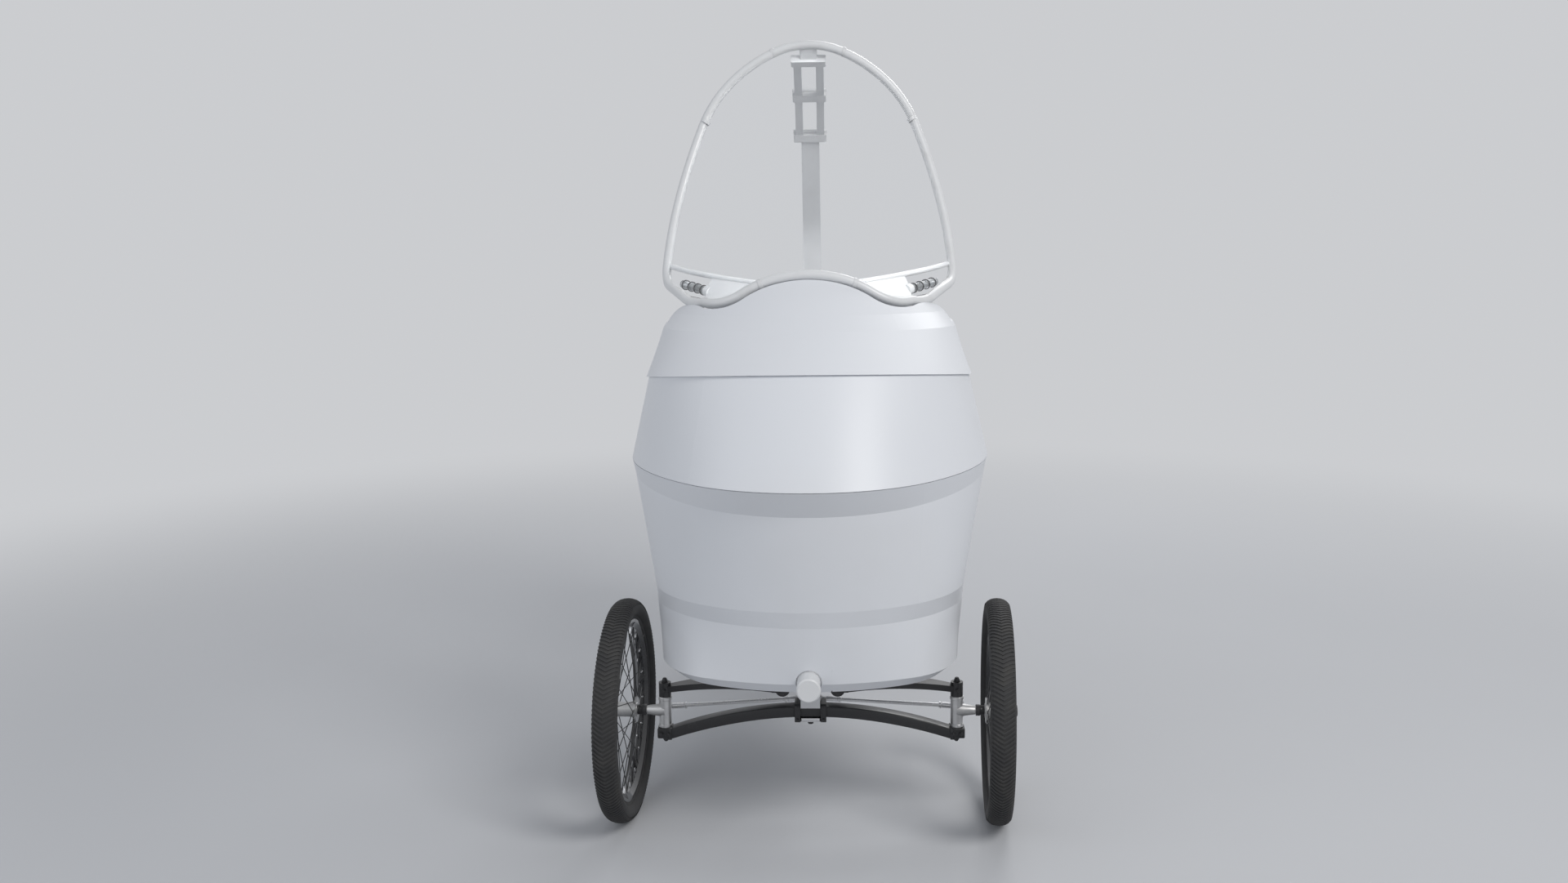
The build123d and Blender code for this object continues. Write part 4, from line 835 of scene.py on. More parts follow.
def padded(name, size, corner, place, channels):
    """A cushion blown up as cloth, lying on its flat underside.

    It is made about the origin, with its underside at zero, and then placed."""
    wide, deep, thick = size
    pad = block(name, (0, 0, thick / 2), (wide, deep, thick))
    pick(pad, "EDGE", lambda at, run: abs(run.z) > 0.9)
    round_edges(corner, 6)
    pick(pad, "EDGE", lambda at, run: abs(run.z) < 0.1)
    round_edges(thick * 0.3, 3)
    heal(pad)
    grid = pad.modifiers.new("cloth_grid", "REMESH")
    grid.mode = "VOXEL"
    grid.voxel_size = 0.0055
    take(pad)
    bpy.ops.object.modifier_apply(modifier="cloth_grid")
    rest = [spot.co.copy() for spot in pad.data.vertices]
    cloth = pad.modifiers.new("cloth", "CLOTH")
    cloth.settings.use_pressure = True
    cloth.settings.uniform_pressure_force = 4.0
    cloth.settings.effector_weights.gravity = 0.0
    for step in range(1, 21):
        bpy.context.scene.frame_set(step)
    bpy.ops.object.modifier_apply(modifier="cloth")
    bpy.context.scene.frame_set(1)
    for spot, before in zip(pad.data.vertices, rest):
        shift = spot.co - before
        if shift.length > COVER_SWELL:
            shift *= COVER_SWELL / shift.length
        spot.co = before + shift
    bpy.ops.object.mode_set(mode="EDIT")
    select_all()
    bpy.ops.mesh.vertices_smooth(factor=0.5, repeat=3)
    bpy.ops.mesh.subdivide(number_cuts=1, smoothness=0.0)
    bpy.ops.object.mode_set(mode="OBJECT")
    # All normals are read before the first corner moves
    facing = [spot.normal.copy() for spot in pad.data.vertices]
    for spot, normal in zip(pad.data.vertices, facing):
        at = spot.co.copy()
        if normal.z > 0.2:
            level = max(0.0, 1.0 - (2 * at.x / wide) ** 4) * max(0.0, 1.0 - (2 * at.y / deep) ** 4)
            at.z += COVER_CROWN * level
            for axis, middle in channels:
                away = abs((at.x if axis == "x" else at.y) - middle) / CHANNEL_HALF
                if away < 1.0:
                    at.z -= CHANNEL_DEEP * (1.0 - away) ** 2
        # The welt round the side draws the cover in, and the underside lies flat
        off_welt = abs(at.z - thick * 0.55) / WELT_REACH
        if abs(normal.z) < 0.75 and off_welt < 1.0:
            at -= Vector((at.x, at.y, 0)).normalized() * WELT_DRAW * (1.0 - off_welt)
        at.z = max(at.z, 0.0)
        spot.co = at
    pad.data.update()
    smooth(pad, 60.0)
    pad.data.transform(place)
    return pad


def welt(name, size, corner, place):
    """Piping round the side of a cushion: a round cord on its seam."""
    wide, deep, thick = size
    line = begin(
        name, bpy.ops.mesh.primitive_plane_add, size=1.0, location=(0, 0, thick * 0.55)
    )
    bpy.ops.mesh.select_mode(type="VERT")
    select_all()
    bpy.ops.transform.resize(value=(wide + 0.006, deep + 0.006, 1))
    bpy.ops.mesh.bevel(offset=corner, segments=8, affect="VERTICES")
    bpy.ops.mesh.delete(type="ONLY_FACE")
    cord = rope(line, 0.0024, 2)
    cord.data.transform(place)
    smooth(cord, 60.0)
    return cord


def cushions():
    lean = math.radians(14.0)
    up = Vector((0, math.sin(lean), math.cos(lean)))
    front = Vector((0, -math.cos(lean), math.sin(lean)))
    turn = Matrix((Vector((1, 0, 0)), up, front)).transposed().to_4x4()
    back_middle = Vector((0, 0.279, 0.505)) + up * 0.275 + front * 0.0068
    seat_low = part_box("seat_cushion")[0]
    kinds = (
        # name, size, corner, place, channels
        (
            "seat", (0.368, 0.216, 0.046), 0.038,
            Matrix.Translation((0, 0.114, seat_low[2] + 0.0005)), (("x", 0.062), ("x", -0.062)),
        ),
        (
            "back", (0.368, 0.376, 0.046), 0.024,
            Matrix.Translation(back_middle) @ turn, (("y", -0.094), ("y", 0.0), ("y", 0.094)),
        ),
    )
    for name, size, corner, place, channels in kinds:
        cover = padded(f"{name}_cushion_cover", size, corner, place, channels)
        fit(cover, "frame", "seat_fabric", stands_for=(f"{name}_cushion",))
    for name, size, corner, place, _ in kinds:
        fit(welt(f"{name}_welt", size, corner, place), "frame", "seat_fabric")


# ---------------------------------------------------------------- grips
def grips():
    """Ribbed rubber grips with a flange and a plugged end."""
    ribs = [(0.0, 0.0), (0.0, 0.0120), (0.0010, 0.0146), (0.0030, 0.0150)]
    for i in range(17):
        start = 0.0045 + i * 0.0058
        ribs += [
            (start, 0.0152), (start + 0.0036, 0.0152),
            (start + 0.0042, 0.0138), (start + 0.0052, 0.0138),
        ]
    ribs += [
        (0.1040, 0.0150), (0.1060, 0.0159), (0.1094, 0.0159), (0.1098, 0.0150), (0.1098, 0.0115),
    ]
    column = Vector((0, COLUMN_Y, 0.8278))
    pair = []
    for side in (-1, 1):
        end = column + FRONT_TURN @ Vector((side * 0.245, 0.150, 0))
        near = column + FRONT_TURN @ Vector((side * 0.090, 0, 0))
        pair.append(turned(f"grip_{side}", ribs, 28, at=end, along=near - end, angle=30.0))
    fit(joined("ribbed_grips", pair), "steering", "grip_rubber", stands_for=("grips",))


# ---------------------------------------------------------------- fasteners
CLAMP_X = 0.0295
MOTOR_FACE_X = 0.0352
KNURLS = 48
SOCKET_BOLT = (
    (0.0, 0.0), (0.0, 0.0052), (0.0006, 0.0055), (0.0036, 0.0053), (0.0046, 0.0046),
    (0.0048, 0.0030), (0.0020, 0.0028), (0.0020, 0.0),
)
KNURLED_NUT = (
    (0.0284, 0.0102), (0.0284, 0.0131), (0.0300, 0.0138), (0.0318, 0.0124), (0.0330, 0.0117),
    (0.0344, 0.0117), (0.0352, 0.0126), (0.0362, 0.0130), (0.0436, 0.0130), (0.0446, 0.0122),
    (0.0450, 0.0100),
)
AXLE_SPACER = (
    (0.0430, 0.0082), (0.0430, 0.0124), (0.0436, 0.0128), (0.0520, 0.0128), (0.0528, 0.0118),
    (0.0545, 0.0112), (0.0628, 0.0112), (0.0632, 0.0082),
)
AXLE_WASHER = (
    (0.0822, 0.0090), (0.0822, 0.0170), (0.0828, 0.0174), (0.0840, 0.0174), (0.0844, 0.0170),
    (0.0844, 0.0090),
)
AXLE_CONE = (
    (0.0385, 0.0082), (0.0385, 0.0150), (0.0410, 0.0156), (0.0450, 0.0135), (0.0730, 0.0110),
    (0.0738, 0.0082),
)
HEAD_CUP_LOW = (
    (0.2935, 0.0124), (0.2935, 0.0200), (0.2950, 0.0216), (0.3030, 0.0216), (0.3048, 0.0194),
    (0.3048, 0.0186),
)
HEAD_CUP_TOP = (
    (0.4550, 0.0186), (0.4556, 0.0216), (0.4640, 0.0216), (0.4668, 0.0196), (0.4700, 0.0172),
    (0.4712, 0.0124),
)
CRANK_CUP = (
    (0.0332, 0.0196), (0.0336, 0.0214), (0.0362, 0.0214), (0.0372, 0.0200), (0.0376, 0.0150),
    (0.0376, 0.0096),
)
BAR_CLAMP = (
    (0.7980, 0.0118), (0.7980, 0.0165), (0.8000, 0.0178), (0.8130, 0.0178), (0.8150, 0.0165),
    (0.8150, 0.0118),
)
PEDAL_CAP = (
    (0.1600, 0.0068), (0.1600, 0.0086), (0.1634, 0.0086), (0.1644, 0.0076), (0.1647, 0.0040),
    (0.1648, 0.0),
)


def hex_bolt():
    """M6 bolt head on its washer, standing on the origin along Z."""
    bolt = hexagon("hex_bolt", 0.0058, 0.0042, 0.0033)
    pick(bolt, "FACE", lambda at, n: n.z > 0.9)
    inset(0.0011)
    move((0, 0, 0.0006))
    inset(0.0016)
    move((0, 0, -0.0005))
    bpy.ops.mesh.primitive_cylinder_add(
        vertices=18, radius=0.0068, depth=0.0012, location=(0, 0, 0.0006)
    )
    return machined(bolt, 0.00025, shading=32.0)


def socket_bolt():
    """Round head with a hexagon socket, standing on the origin along Z."""
    return turned("socket_bolt", SOCKET_BOLT, 18)


def dome_nut():
    """Closed nut with a round cap."""
    nut = hexagon("dome_nut", 0.0062, 0.0040, 0.0030)
    pick(nut, "FACE", lambda at, n: n.z > 0.9)
    inset(0.0010)
    for rise, share in ((0.0020, 0.94), (0.0014, 0.80), (0.0007, 0.72)):
        pull((0, 0, rise))
        bpy.ops.transform.resize(value=(share, share, 1))
    bpy.ops.mesh.primitive_cylinder_add(
        vertices=18, radius=0.0072, depth=0.0011, location=(0, 0, 0.00055)
    )
    return machined(nut, 0.00025, shading=32.0)


def fasten(name, body, slot, master, places):
    """Copies of one fastener at (place, direction, size), joined as one piece."""
    row = [
        copy_of(master, f"{name}_{i}", pointing(at, direction, size, 0.35 * i))
        for i, (at, direction, size) in enumerate(places)
    ]
    fit(joined(name, row), body, slot)


def ring_of(count, radius, x, y, z, side, size, first):
    """Fasteners in a ring about an axle along X."""
    angles = [first + math.tau * i / count for i in range(count)]
    return [
        ((x, y + radius * math.cos(angle), z + radius * math.sin(angle)), (side, 0, 0), size)
        for angle in angles
    ]


def rod_pin(side, x, y, z):
    """A tie rod's pin beside the steering axis at x and y, as the wheels stand at rest."""
    return FRONT_TURN @ Vector((side * 0.014, 0.065, 0)) + Vector((x, y, z))


def fasteners():
    bolt, socket, dome = hex_bolt(), socket_bolt(), dome_nut()
    y0 = FRONT_AXLE_Y
    clamp_bolts = [
        ((x, y0 + way * 0.0250, z), (0, way, 0), 0.62)
        for x in (-CLAMP_X, CLAMP_X) for z in (0.2380, 0.2690) for way in (-1, 1)
    ]
    clamp_bolts.append(((0, y0, 0.2284), (0, 0, -1), 1.15))
    fasten("spring_clamp_bolts", "frame", "black_metal", bolt, clamp_bolts)
    arm_bolts = []
    for _, side in SIDES:
        for way in (-1, 1):
            arm_bolts += [
                ((side * 0.062, y0 + way * 0.056, 0.318), (0, way, 0), 1.35),
                ((side * KINGPIN_X, y0 + way * 0.0138, 0.3045), (0, way, 0), 0.75),
                ((side * (KINGPIN_X + way * 0.009), y0 - 0.018, 0.2025), (0, -1, 0), 0.75),
            ]
    fasten("arm_bolts", "frame", "black_metal", bolt, arm_bolts)
    fasten("nose_bracket_bolts", "frame", "steel", bolt, [
        ((side * 0.022, y0 + y, 0.350), (side, 0, 0), 0.85)
        for _, side in SIDES for y in (-0.018, 0.018)
    ])
    for name, side in SIDES:
        fasten(f"kingpin_nuts_{name}", f"knuckle_{name}", "black_metal", dome, (
            ((side * KINGPIN_X, y0, 0.3208), (0, 0, 1), 1.15),
            ((side * KINGPIN_X, y0, 0.1902), (0, 0, -1), 1.15),
        ))
        fasten(f"rod_nut_{name}", f"knuckle_{name}", "steel", dome, (
            (rod_pin(side, side * KINGPIN_X, y0, 0.2446), (0, 0, 1), 0.9),
        ))
    fasten("bell_crank_nuts", "steering", "steel", dome, [
        (rod_pin(side, 0, COLUMN_Y, 0.2446), (0, 0, 1), 0.9) for _, side in SIDES
    ])
    ring_bolts = ring_of(4, 0.066, CHAIN_X - 0.0015, *CRANK_AT, -1, 0.85, math.tau / 8)
    fasten("chainring_bolts", "crankset", "steel", socket, ring_bolts)
    fasten("crank_bolts", "crankset", "steel", socket, [
        ((side * 0.0758, *CRANK_AT), (side, 0, 0), 1.7) for _, side in SIDES
    ])
    fasten("seat_post_bolts", "frame", "steel", bolt, [
        ((side * 0.020, y, 0.440), (side, 0, 0), 0.8) for y in (0.024, 0.054) for side in (-1, 1)
    ])
    tab = Matrix.Rotation(STAY_TURN, 3, "X") @ Vector((0, 0.017, 0))
    tab += Vector((0, REAR_AXLE_Y, AXLE_Z))
    fasten("mudguard_bolts", "frame", "steel", bolt, [
        ((side * 0.0908, tab.y, tab.z), (side, 0, 0), 0.8) for _, side in SIDES
    ])
    fasten("motor_cover_screws", "wheel_rear", "steel", socket, [
        *ring_of(8, 0.055, -MOTOR_FACE_X, REAR_AXLE_Y, AXLE_Z, -1, 0.55, 0.2),
        *ring_of(8, 0.055, MOTOR_FACE_X, REAR_AXLE_Y, AXLE_Z, 1, 0.55, 0.2),
    ])
    scrap(bolt, socket, dome)


def rod_sleeves():
    """Hexagon sleeves and lock nuts screwed on both ends of each tie rod."""
    for name, side in SIDES:
        inner = rod_pin(side, 0, COLUMN_Y, ROD_Z)
        outer = rod_pin(side, side * KINGPIN_X, FRONT_AXLE_Y, ROD_Z)
        run = (outer - inner).normalized()
        parts = []
        for start, way in ((inner, run), (outer, -run)):
            for near, length, radius in ((0.018, 0.028, 0.0072), (0.0475, 0.0055, 0.0082)):
                sleeve = hexagon("rod_sleeve", radius, length, length / 2)
                pick(sleeve, "FACE", lambda at, n: abs(n.z) > 0.9)
                inset(0.0012, each=True)
                machined(sleeve, 0.0004, shading=32.0)
                sleeve.data.transform(pointing(start + way * near, way))
                parts.append(sleeve)
        fit(joined(f"rod_sleeves_{name}", parts), f"tie_rod_{name}", "steel")


def knurled_nut(name, wheel, outward):
    """Nut on the end of a front axle, with every second row of its head pressed in."""
    nut = turned(f"knurled_nut_{name}", KNURLED_NUT, KNURLS, at=wheel, along=outward, angle=20.0)
    bpy.context.view_layer.objects.active = nut
    bpy.ops.object.mode_set(mode="EDIT")
    side_way = Vector((0, 0, 1)).cross(outward)

    def in_groove(at, n):
        off = at - wheel
        turn = math.atan2(off.z, off.dot(side_way)) / math.tau * KNURLS
        return 0.0350 < off.dot(outward) < 0.0450 and round(turn) % 2 == 0

    pick(nut, "VERT", in_groove)
    bpy.ops.transform.resize(value=(1, 0.93, 0.93), center_override=wheel + outward * 0.040)
    heal(nut)
    return nut


def axle_ends():
    """Knurled nuts on the front axles, spacers, and the rear axle's washers."""
    for name, side in SIDES:
        body = f"knuckle_{name}"
        outward = FRONT_TURN @ Vector((side, 0, 0))
        pivot = Vector((side * KINGPIN_X, FRONT_AXLE_Y, AXLE_Z))
        fit(knurled_nut(name, pivot + outward * 0.092, outward), body, "black_metal")
        spacer = turned(f"axle_spacer_{name}", AXLE_SPACER, 32, at=pivot, along=outward)
        fit(spacer, body, "black_metal")
        rings = [
            turned(
                f"knuckle_ring_{name}_{i}",
                (
                    (low, 0.0138), (low, 0.0150), (low + 0.0008, 0.0156),
                    (high - 0.0008, 0.0156), (high, 0.0150), (high, 0.0138),
                ),
                32, at=(pivot.x, pivot.y, 0),
            )
            for i, (low, high) in enumerate(((0.2156, 0.2226), (0.2798, 0.2872)))
        ]
        fit(joined(f"knuckle_rings_{name}", rings), body, "alloy")
    at = (0, REAR_AXLE_Y, AXLE_Z)
    washers = [
        turned(f"axle_washer_{side}", AXLE_WASHER, 28, at=at, along=(side, 0, 0))
        for _, side in SIDES
    ]
    washers.append(turned("axle_cone", AXLE_CONE, 28, at=at, along=(1, 0, 0)))
    fit(joined("rear_axle_washers", washers), "frame", "steel")


def bearing_rings():
    """Headset cups on the steering sleeve, cups on the crank shell, and the pedals' caps."""
    column = (0, COLUMN_Y, 0)
    head = [
        turned("head_cup_low", HEAD_CUP_LOW, 40, at=column),
        turned("head_cup_top", HEAD_CUP_TOP, 40, at=column),
    ]
    fit(joined("head_cups", head), "frame", "steel")
    shell = [
        turned(
            f"crank_cup_{side}", CRANK_CUP, 36, at=(0, *CRANK_AT), along=(side, 0, 0), angle=25.0
        )
        for side in (-1, 1)
    ]
    fit(joined("crank_cups", shell), "frame", "steel")
    fit(turned("bar_clamp_ring", BAR_CLAMP, 36, at=column), "steering", "black_metal")
    for name, side in SIDES:
        at = (0, CRANK_AT[0] + side * 0.155, CRANK_AT[1])
        cap = turned(f"pedal_cap_{name}", PEDAL_CAP, 24, at=at, along=(side, 0, 0))
        fit(cap, f"pedal_{name}", "black_metal")


# ---------------------------------------------------------------- windshield
SHIELD_LEAN = math.radians(41.0)
SHIELD_R = 0.405
SHIELD_NOSE_Y = 0.150
SHIELD_NOSE_Z = 1.237
# A little thicker than the solid, so that the edge of the pane lies inside
TUBE_R = 0.0117
# Corners of the tube's line as (width, height), from the top and from the middle of the base
SHIELD_SIDE = (
    (0.0, 1.800), (0.088, 1.781), (0.191, 1.713), (0.269, 1.600), (0.325, 1.420),
    (0.351, 1.252), (0.337, 1.203), (0.290, 1.178), (0.240, 1.173),
)
SHIELD_BASE = ((0.0, 1.237), (0.080, 1.226), (0.147, 1.196), (0.240, 1.173))
CLIP = (
    (-0.0045, 0.0105), (-0.0045, 0.0123), (-0.0038, 0.0128), (0.0038, 0.0128),
    (0.0045, 0.0123), (0.0045, 0.0105),
)
LAMP_START = Vector((0.238272, -0.352225, 1.19619))
LAMP_RUN = Vector((0.555857, 0.824788, 0.103672))
LAMP_LONG = 0.1166
LAMP_BAND = (
    (-0.0021, 0.0105), (-0.0021, 0.0119), (-0.0012, 0.0124),
    (0.0012, 0.0124), (0.0021, 0.0119), (0.0021, 0.0105),
)
LAMP_CORE = (
    (0.0010, 0.0), (0.0010, 0.0060), (0.0200, 0.0060), (0.0230, 0.0042), (0.0960, 0.0042),
    (0.0990, 0.0060), (0.1140, 0.0060), (0.1150, 0.0),
)


def on_shield(x, z):
    """Point of the bent pane at a width and a height."""
    back = SHIELD_R - math.sqrt(SHIELD_R * SHIELD_R - x * x)
    nose = SHIELD_NOSE_Y * math.cos(SHIELD_LEAN) - SHIELD_NOSE_Z * math.sin(SHIELD_LEAN)
    reach = (nose + back + z * math.sin(SHIELD_LEAN)) / math.cos(SHIELD_LEAN)
    return Vector((x, FRONT_AXLE_Y + reach, z))


def arc_chain(corners, steps):
    """Arcs through the corners, each starting the way the last one ended.

    The first one starts straight along X."""
    line = [corners[0]]
    heading = Vector((1, 0, 0))
    for here, there in zip(corners, corners[1:]):
        chord = there - here
        across = chord.normalized()
        swing = heading.angle(across)
        bend = (across - heading * heading.dot(across)).normalized()
        radius = chord.length / 2 / math.sin(swing)
        middle = here + bend * radius
        for i in range(1, steps + 1):
            turn = 2 * swing * i / steps
            line.append(middle + (heading * math.sin(turn) - bend * math.cos(turn)) * radius)
        heading = 2 * heading.dot(across) * across - heading
    return line


def shield_tube():
    """The windshield's round tube: one closed line, given its thickness."""
    over = arc_chain([on_shield(x, z) for x, z in SHIELD_SIDE], 6)
    under = arc_chain([on_shield(x, z) for x, z in SHIELD_BASE], 8)
    half = over + under[-2:0:-1]
    other = [Vector((-at.x, at.y, at.z)) for at in reversed(half) if at.x > 0.001]
    line = draw("windshield_tube", [*half, under[0], *other, half[0]])
    bpy.ops.mesh.remove_doubles(threshold=0.0001)
    tube = rope(line, TUBE_R, 4)
    smooth(tube, 70.0)
    fit(tube, "frame", "white_tube", stands_for=("windshield_frame",))


def shield_clips():
    """Thin bands that hold the pane to its tube."""
    clips = []
    for x, z, run_x, run_z in (
        # place on the tube, and the tube's direction there
        (0.2625, 1.6080, -0.52, 0.85),
        (0.0905, 1.7806, -0.98, 0.21),
        (0.1080, 1.2160, 0.93, -0.36),
    ):
        here = on_shield(x, z)
        run = on_shield(x + run_x * 0.004, z + run_z * 0.004) - here
        for side in (1, -1):
            flip = Vector((side, 1, 1))
            clips.append(turned(f"clip_{len(clips)}", CLIP, 20, at=here * flip, along=run * flip))
    fit(joined("shield_clips", clips), "frame", "grey_frame")


def lamp_details():
    """Dark bands round the clear lamps, and a bright core inside each."""
    bands, cores = [], []
    for side in (1, -1):
        at = Vector((side * LAMP_START.x, LAMP_START.y, LAMP_START.z))
        along = Vector((side * LAMP_RUN.x, LAMP_RUN.y, LAMP_RUN.z))
        for i in range(4):
            middle = LAMP_LONG * (i + 0.5) / 4
            band = [(middle + off, radius) for off, radius in LAMP_BAND]
            bands.append(turned(f"lamp_band_{side}_{i}", band, 28, at=at, along=along))
        cores.append(turned(f"lamp_core_{side}", LAMP_CORE, 16, at=at, along=along))
    fit(joined("lamp_bands", bands), "frame", "black_metal")
    fit(joined("lamp_cores", cores), "frame", "steel")


# ---------------------------------------------------------------- battery box
CHARGING_CAP = (
    (-0.0010, 0.0), (-0.0010, 0.0128), (0.0016, 0.0132), (0.0028, 0.0118), (0.0030, 0.0090),
    (0.0048, 0.0086), (0.0052, 0.0),
)


def battery_trim():
    """Lid lip, latch and charging cap of the battery box."""
    low, high = (Vector(end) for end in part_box("battery_box"))
    middle = (low + high) / 2
    lip = block("battery_lip", (0, middle.y, high.z - 0.0130), (0.1840, 0.2040, 0.0060))
    pick(lip, "EDGE", lambda at, run: abs(run.z) > 0.9)
    round_edges(0.013, 5)
    pick(lip, "FACE", lambda at, n: abs(n.z) > 0.9)
    inset(0.0035, each=True)
    bpy.ops.mesh.bridge_edge_loops()
    machined(lip, 0.0008)
    latch = block("battery_latch", (0, low.y - 0.0035, middle.z + 0.004), (0.034, 0.009, 0.024))
    pick(latch, "FACE", lambda at, n: n.y < -0.9)
    inset(0.0035)
    pull((0, 0.0022, 0))
    inset(0.0020)
    pull((0, -0.0028, 0))
    machined(latch, 0.0009, 45.0, 2)
    cap = turned(
        "charging_cap", CHARGING_CAP, 28, at=(high.x, middle.y - 0.055, middle.z - 0.004),
        along=(1, 0, 0),
    )
    fit(joined("battery_trim", [lip, latch, cap]), "frame", "black_metal")


# ---------------------------------------------------------------- lower moulding
TUBE_Z = 0.390
PATCH_LOW = 0.3630
PATCH_CREASE = 0.3853
PATCH_TOP = 0.4184
PATCH_EDGE = 0.0504
PATCH_BEND = 1.12
# Height and place of the moulding's face at both ends of its two flats beside the tube
PATCH_BELOW = ((PATCH_LOW, -0.7967), (PATCH_CREASE, -0.8136))
PATCH_ABOVE = ((PATCH_CREASE, -0.8136), (PATCH_TOP, -0.8181))


def opening_patch():
    """Closes the moulding beside the main tube, round to the tube's clearance."""
    patch = begin(
        "tube_opening_patch", bpy.ops.mesh.primitive_circle_add, vertices=48, radius=0.028,
        fill_type="NOTHING", location=(0, -0.8, TUBE_Z), rotation=(math.pi / 2, 0, 0),
    )
    pick(patch, "VERT", lambda at, n: at.x < -0.0001 or at.z < PATCH_LOW)
    bpy.ops.mesh.delete(type="VERT")
    select_all()
    pull((0, 0, 0))
    # The new corners go straight out to the square edge of the opening
    mesh = bmesh.from_edit_mesh(patch.data)
    for corner in mesh.verts:
        if corner.select:
            run_x, run_z = corner.co.x, corner.co.z - TUBE_Z
            reach = min(
                PATCH_EDGE / run_x if run_x > 0.0001 else 100.0,
                (PATCH_TOP - TUBE_Z) / run_z if run_z > 0.0001 else 100.0,
                (PATCH_LOW - TUBE_Z) / run_z if run_z < -0.0001 else 100.0,
            )
            corner.co.x, corner.co.z = run_x * reach, TUBE_Z + run_z * reach
    bmesh.update_edit_mesh(patch.data)
    cut((0, 0, PATCH_CREASE), (0, 0, 1))
    heal(patch)
    for corner in patch.data.vertices:
        at = corner.co
        low, high = PATCH_BELOW if at.z < PATCH_CREASE else PATCH_ABOVE
        share = (at.z - low[0]) / (high[0] - low[0])
        at.y = low[1] + share * (high[1] - low[1]) + at.x * at.x / PATCH_BEND
    take(patch)
    bpy.ops.object.mode_set(mode="EDIT")
    select_all()
    bpy.ops.mesh.normals_make_consistent(inside=False)
    if sum(face.normal.y for face in bmesh.from_edit_mesh(patch.data).faces) > 0:
        bpy.ops.mesh.flip_normals()
    bpy.ops.object.mode_set(mode="OBJECT")
    wall = patch.modifiers.new("wall", "SOLIDIFY")
    wall.thickness = 0.0040
    wall.offset = -1.0
    bpy.ops.object.modifier_apply(modifier="wall")
    smooth(patch, 20.0)
    fit(patch, "frame", "white_shell")


# ---------------------------------------------------------------- spring
SPRING_THICK = 0.024
SPRING_BOW = 0.315
SPRING_END = 0.351
SPRING_TOP = 0.2680
SPRING_R = 0.9626


def bow_spring():
    """The transverse spring: a bowed bar, slimmer than its clamps, with square ends."""
    half = SPRING_THICK / 2
    bar = block("bow_spring", (0, FRONT_AXLE_Y, 0), (2 * SPRING_END, 0.034, 2 * half))
    cuts = [-SPRING_BOW + 2 * SPRING_BOW * i / 22 for i in range(23)]
    for x in cuts:
        cut((x, 0, 0), (1, 0, 0))
    for x in (-SPRING_END, *cuts, SPRING_END):
        off = min(abs(x), SPRING_BOW)
        top = SPRING_TOP - (SPRING_R - math.sqrt(SPRING_R * SPRING_R - off * off))
        thick = 0.0255 - 0.0015 * max(off - 0.2, 0.0) / 0.115
        pick(bar, "VERT", lambda at, n: abs(at.x - x) < 0.0005 and at.z > 0)
        move((0, 0, top - half))
        pick(bar, "VERT", lambda at, n: abs(at.x - x) < 0.0005 and -0.013 < at.z < 0)
        move((0, 0, top - thick + half))
    machined(bar, 0.0030, segments=3)
    straps = [
        machined(block(
            f"spring_strap_{name}", (side * 0.3225, FRONT_AXLE_Y, 0.2026), (0.010, 0.0385, 0.0272)
        ), 0.0012, segments=2)
        for name, side in SIDES
    ]
    bow = joined("bow_spring", [bar, *straps])
    fit(bow, "frame", "black_metal", stands_for=("leaf_spring",))


def spring_saddle():
    """Narrow clamps beside the bracket, and the steel saddle with its bolt under the spring."""
    plates = []
    for side in (-1, 1):
        plate = block(
            "clamp_plate", (side * CLAMP_X, FRONT_AXLE_Y, 0.2530), (0.0130, 0.0500, 0.0440)
        )
        pick(plate, "EDGE", lambda at, run: abs(run.x) > 0.9)
        round_edges(0.0070, 4)
        pick(plate, "FACE", lambda at, n: abs(n.x) > 0.9)
        inset(0.0028, each=True)
        plates.append(machined(plate, 0.0010, segments=2))
    clamps = joined("spring_clamp_plates", plates)
    fit(clamps, "frame", "black_metal", stands_for=("spring_clamps",))
    saddle = block("spring_saddle", (0, FRONT_AXLE_Y, 0.2370), (0.0460, 0.0440, 0.0085))
    pick(saddle, "FACE", lambda at, n: n.z < -0.9)
    inset(0.0080)
    pull((0, 0, -0.0045))
    bpy.ops.transform.resize(value=(0.72, 0.72, 1))
    pick(saddle, "EDGE", lambda at, run: abs(run.z) > 0.9)
    round_edges(0.0040, 3)
    fit(machined(saddle, 0.0008, 45.0, 2), "frame", "steel")


wheels()
opening_patch()
bow_spring()
spring_saddle()
shield_tube()
chain()
cushions()
grips()
fasteners()
rod_sleeves()
axle_ends()
bearing_rings()
shield_clips()
lamp_details()
battery_trim()


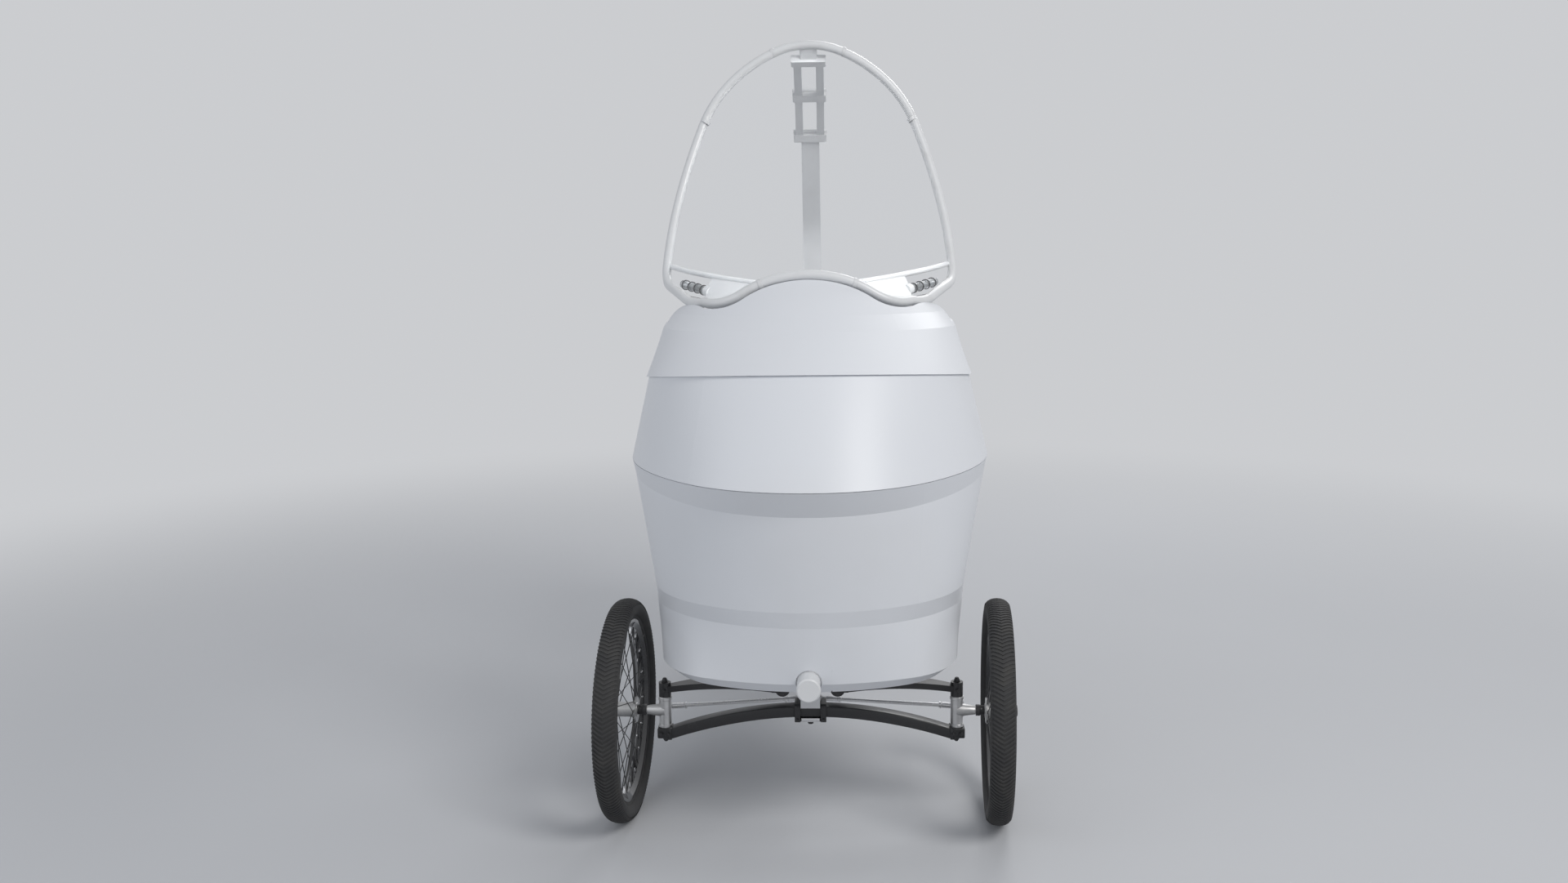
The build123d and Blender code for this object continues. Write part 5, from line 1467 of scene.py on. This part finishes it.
# ---------------------------------------------------------------- studio
def studio():
    """Pale floor that fades into a pale backdrop, with soft lamps."""
    pale = (0.60, 0.61, 0.63)
    deselect()
    bpy.ops.mesh.primitive_circle_add(vertices=96, radius=40.0, fill_type="NGON")
    floor = bpy.context.object
    floor.name = "studio_floor"
    ground = Finish("studio_pale", pale, 0.9)
    ground.colour(ground.noise(0.8), (0.50, 0.51, 0.53), (0.53, 0.54, 0.56))
    # Far out the floor is as plain as the backdrop, so no horizon shows
    glow = ground.node("ShaderNodeEmission", {}, {"Color": pale})
    away = ground.vectors("LENGTH", {0: ground.place()}, "Value")
    ground.mix_shaders(ground.span(away, 1.6, 5.0), ground.shading, glow, "Material Output")
    floor.data.materials.append(ground.material)
    deselect()

    world = bpy.data.worlds.new("studio_world")
    bpy.context.scene.world = world
    world.use_nodes = True
    sky = Nodes(world.node_tree)
    light_sky = world.node_tree.nodes["Background"]
    sky.feed(light_sky.inputs["Color"], (0.66, 0.68, 0.72))
    sky.feed(light_sky.inputs["Strength"], 0.55)
    seen_sky = sky.node("ShaderNodeBackground", {}, {"Color": pale, "Strength": 1.0})
    seen = sky.ray("Is Camera Ray").most(sky.ray("Is Glossy Ray"))
    seen = seen.most(sky.ray("Is Transmission Ray"))
    sky.mix_shaders(seen, Value(sky, light_sky.outputs[0]), seen_sky, "World Output")

    for name, place, size, watts, colour in (
        ("key", (2.9, -3.6, 4.3), 2.4, 150.0, (1.0, 0.985, 0.965)),
        ("fill", (-3.8, -3.2, 2.6), 4.0, 45.0, (0.93, 0.96, 1.0)),
        ("rim", (1.4, 3.4, 3.8), 2.6, 85.0, (1.0, 1.0, 1.0)),
    ):
        lamp = bpy.data.lights.new("lamp_" + name, "AREA")
        lamp.shape = "DISK"
        lamp.size = size
        lamp.energy = watts
        lamp.color = colour
        holder = bpy.data.objects.new("lamp_" + name, lamp)
        bpy.context.scene.collection.objects.link(holder)
        at = Vector(place)
        turn = (Vector((0, 0, 0.8)) - at).to_track_quat("-Z", "Y").to_matrix().to_4x4()
        holder.matrix_world = Matrix.Translation(at) @ turn


studio()

bpy.context.scene.view_settings.view_transform = "Standard"
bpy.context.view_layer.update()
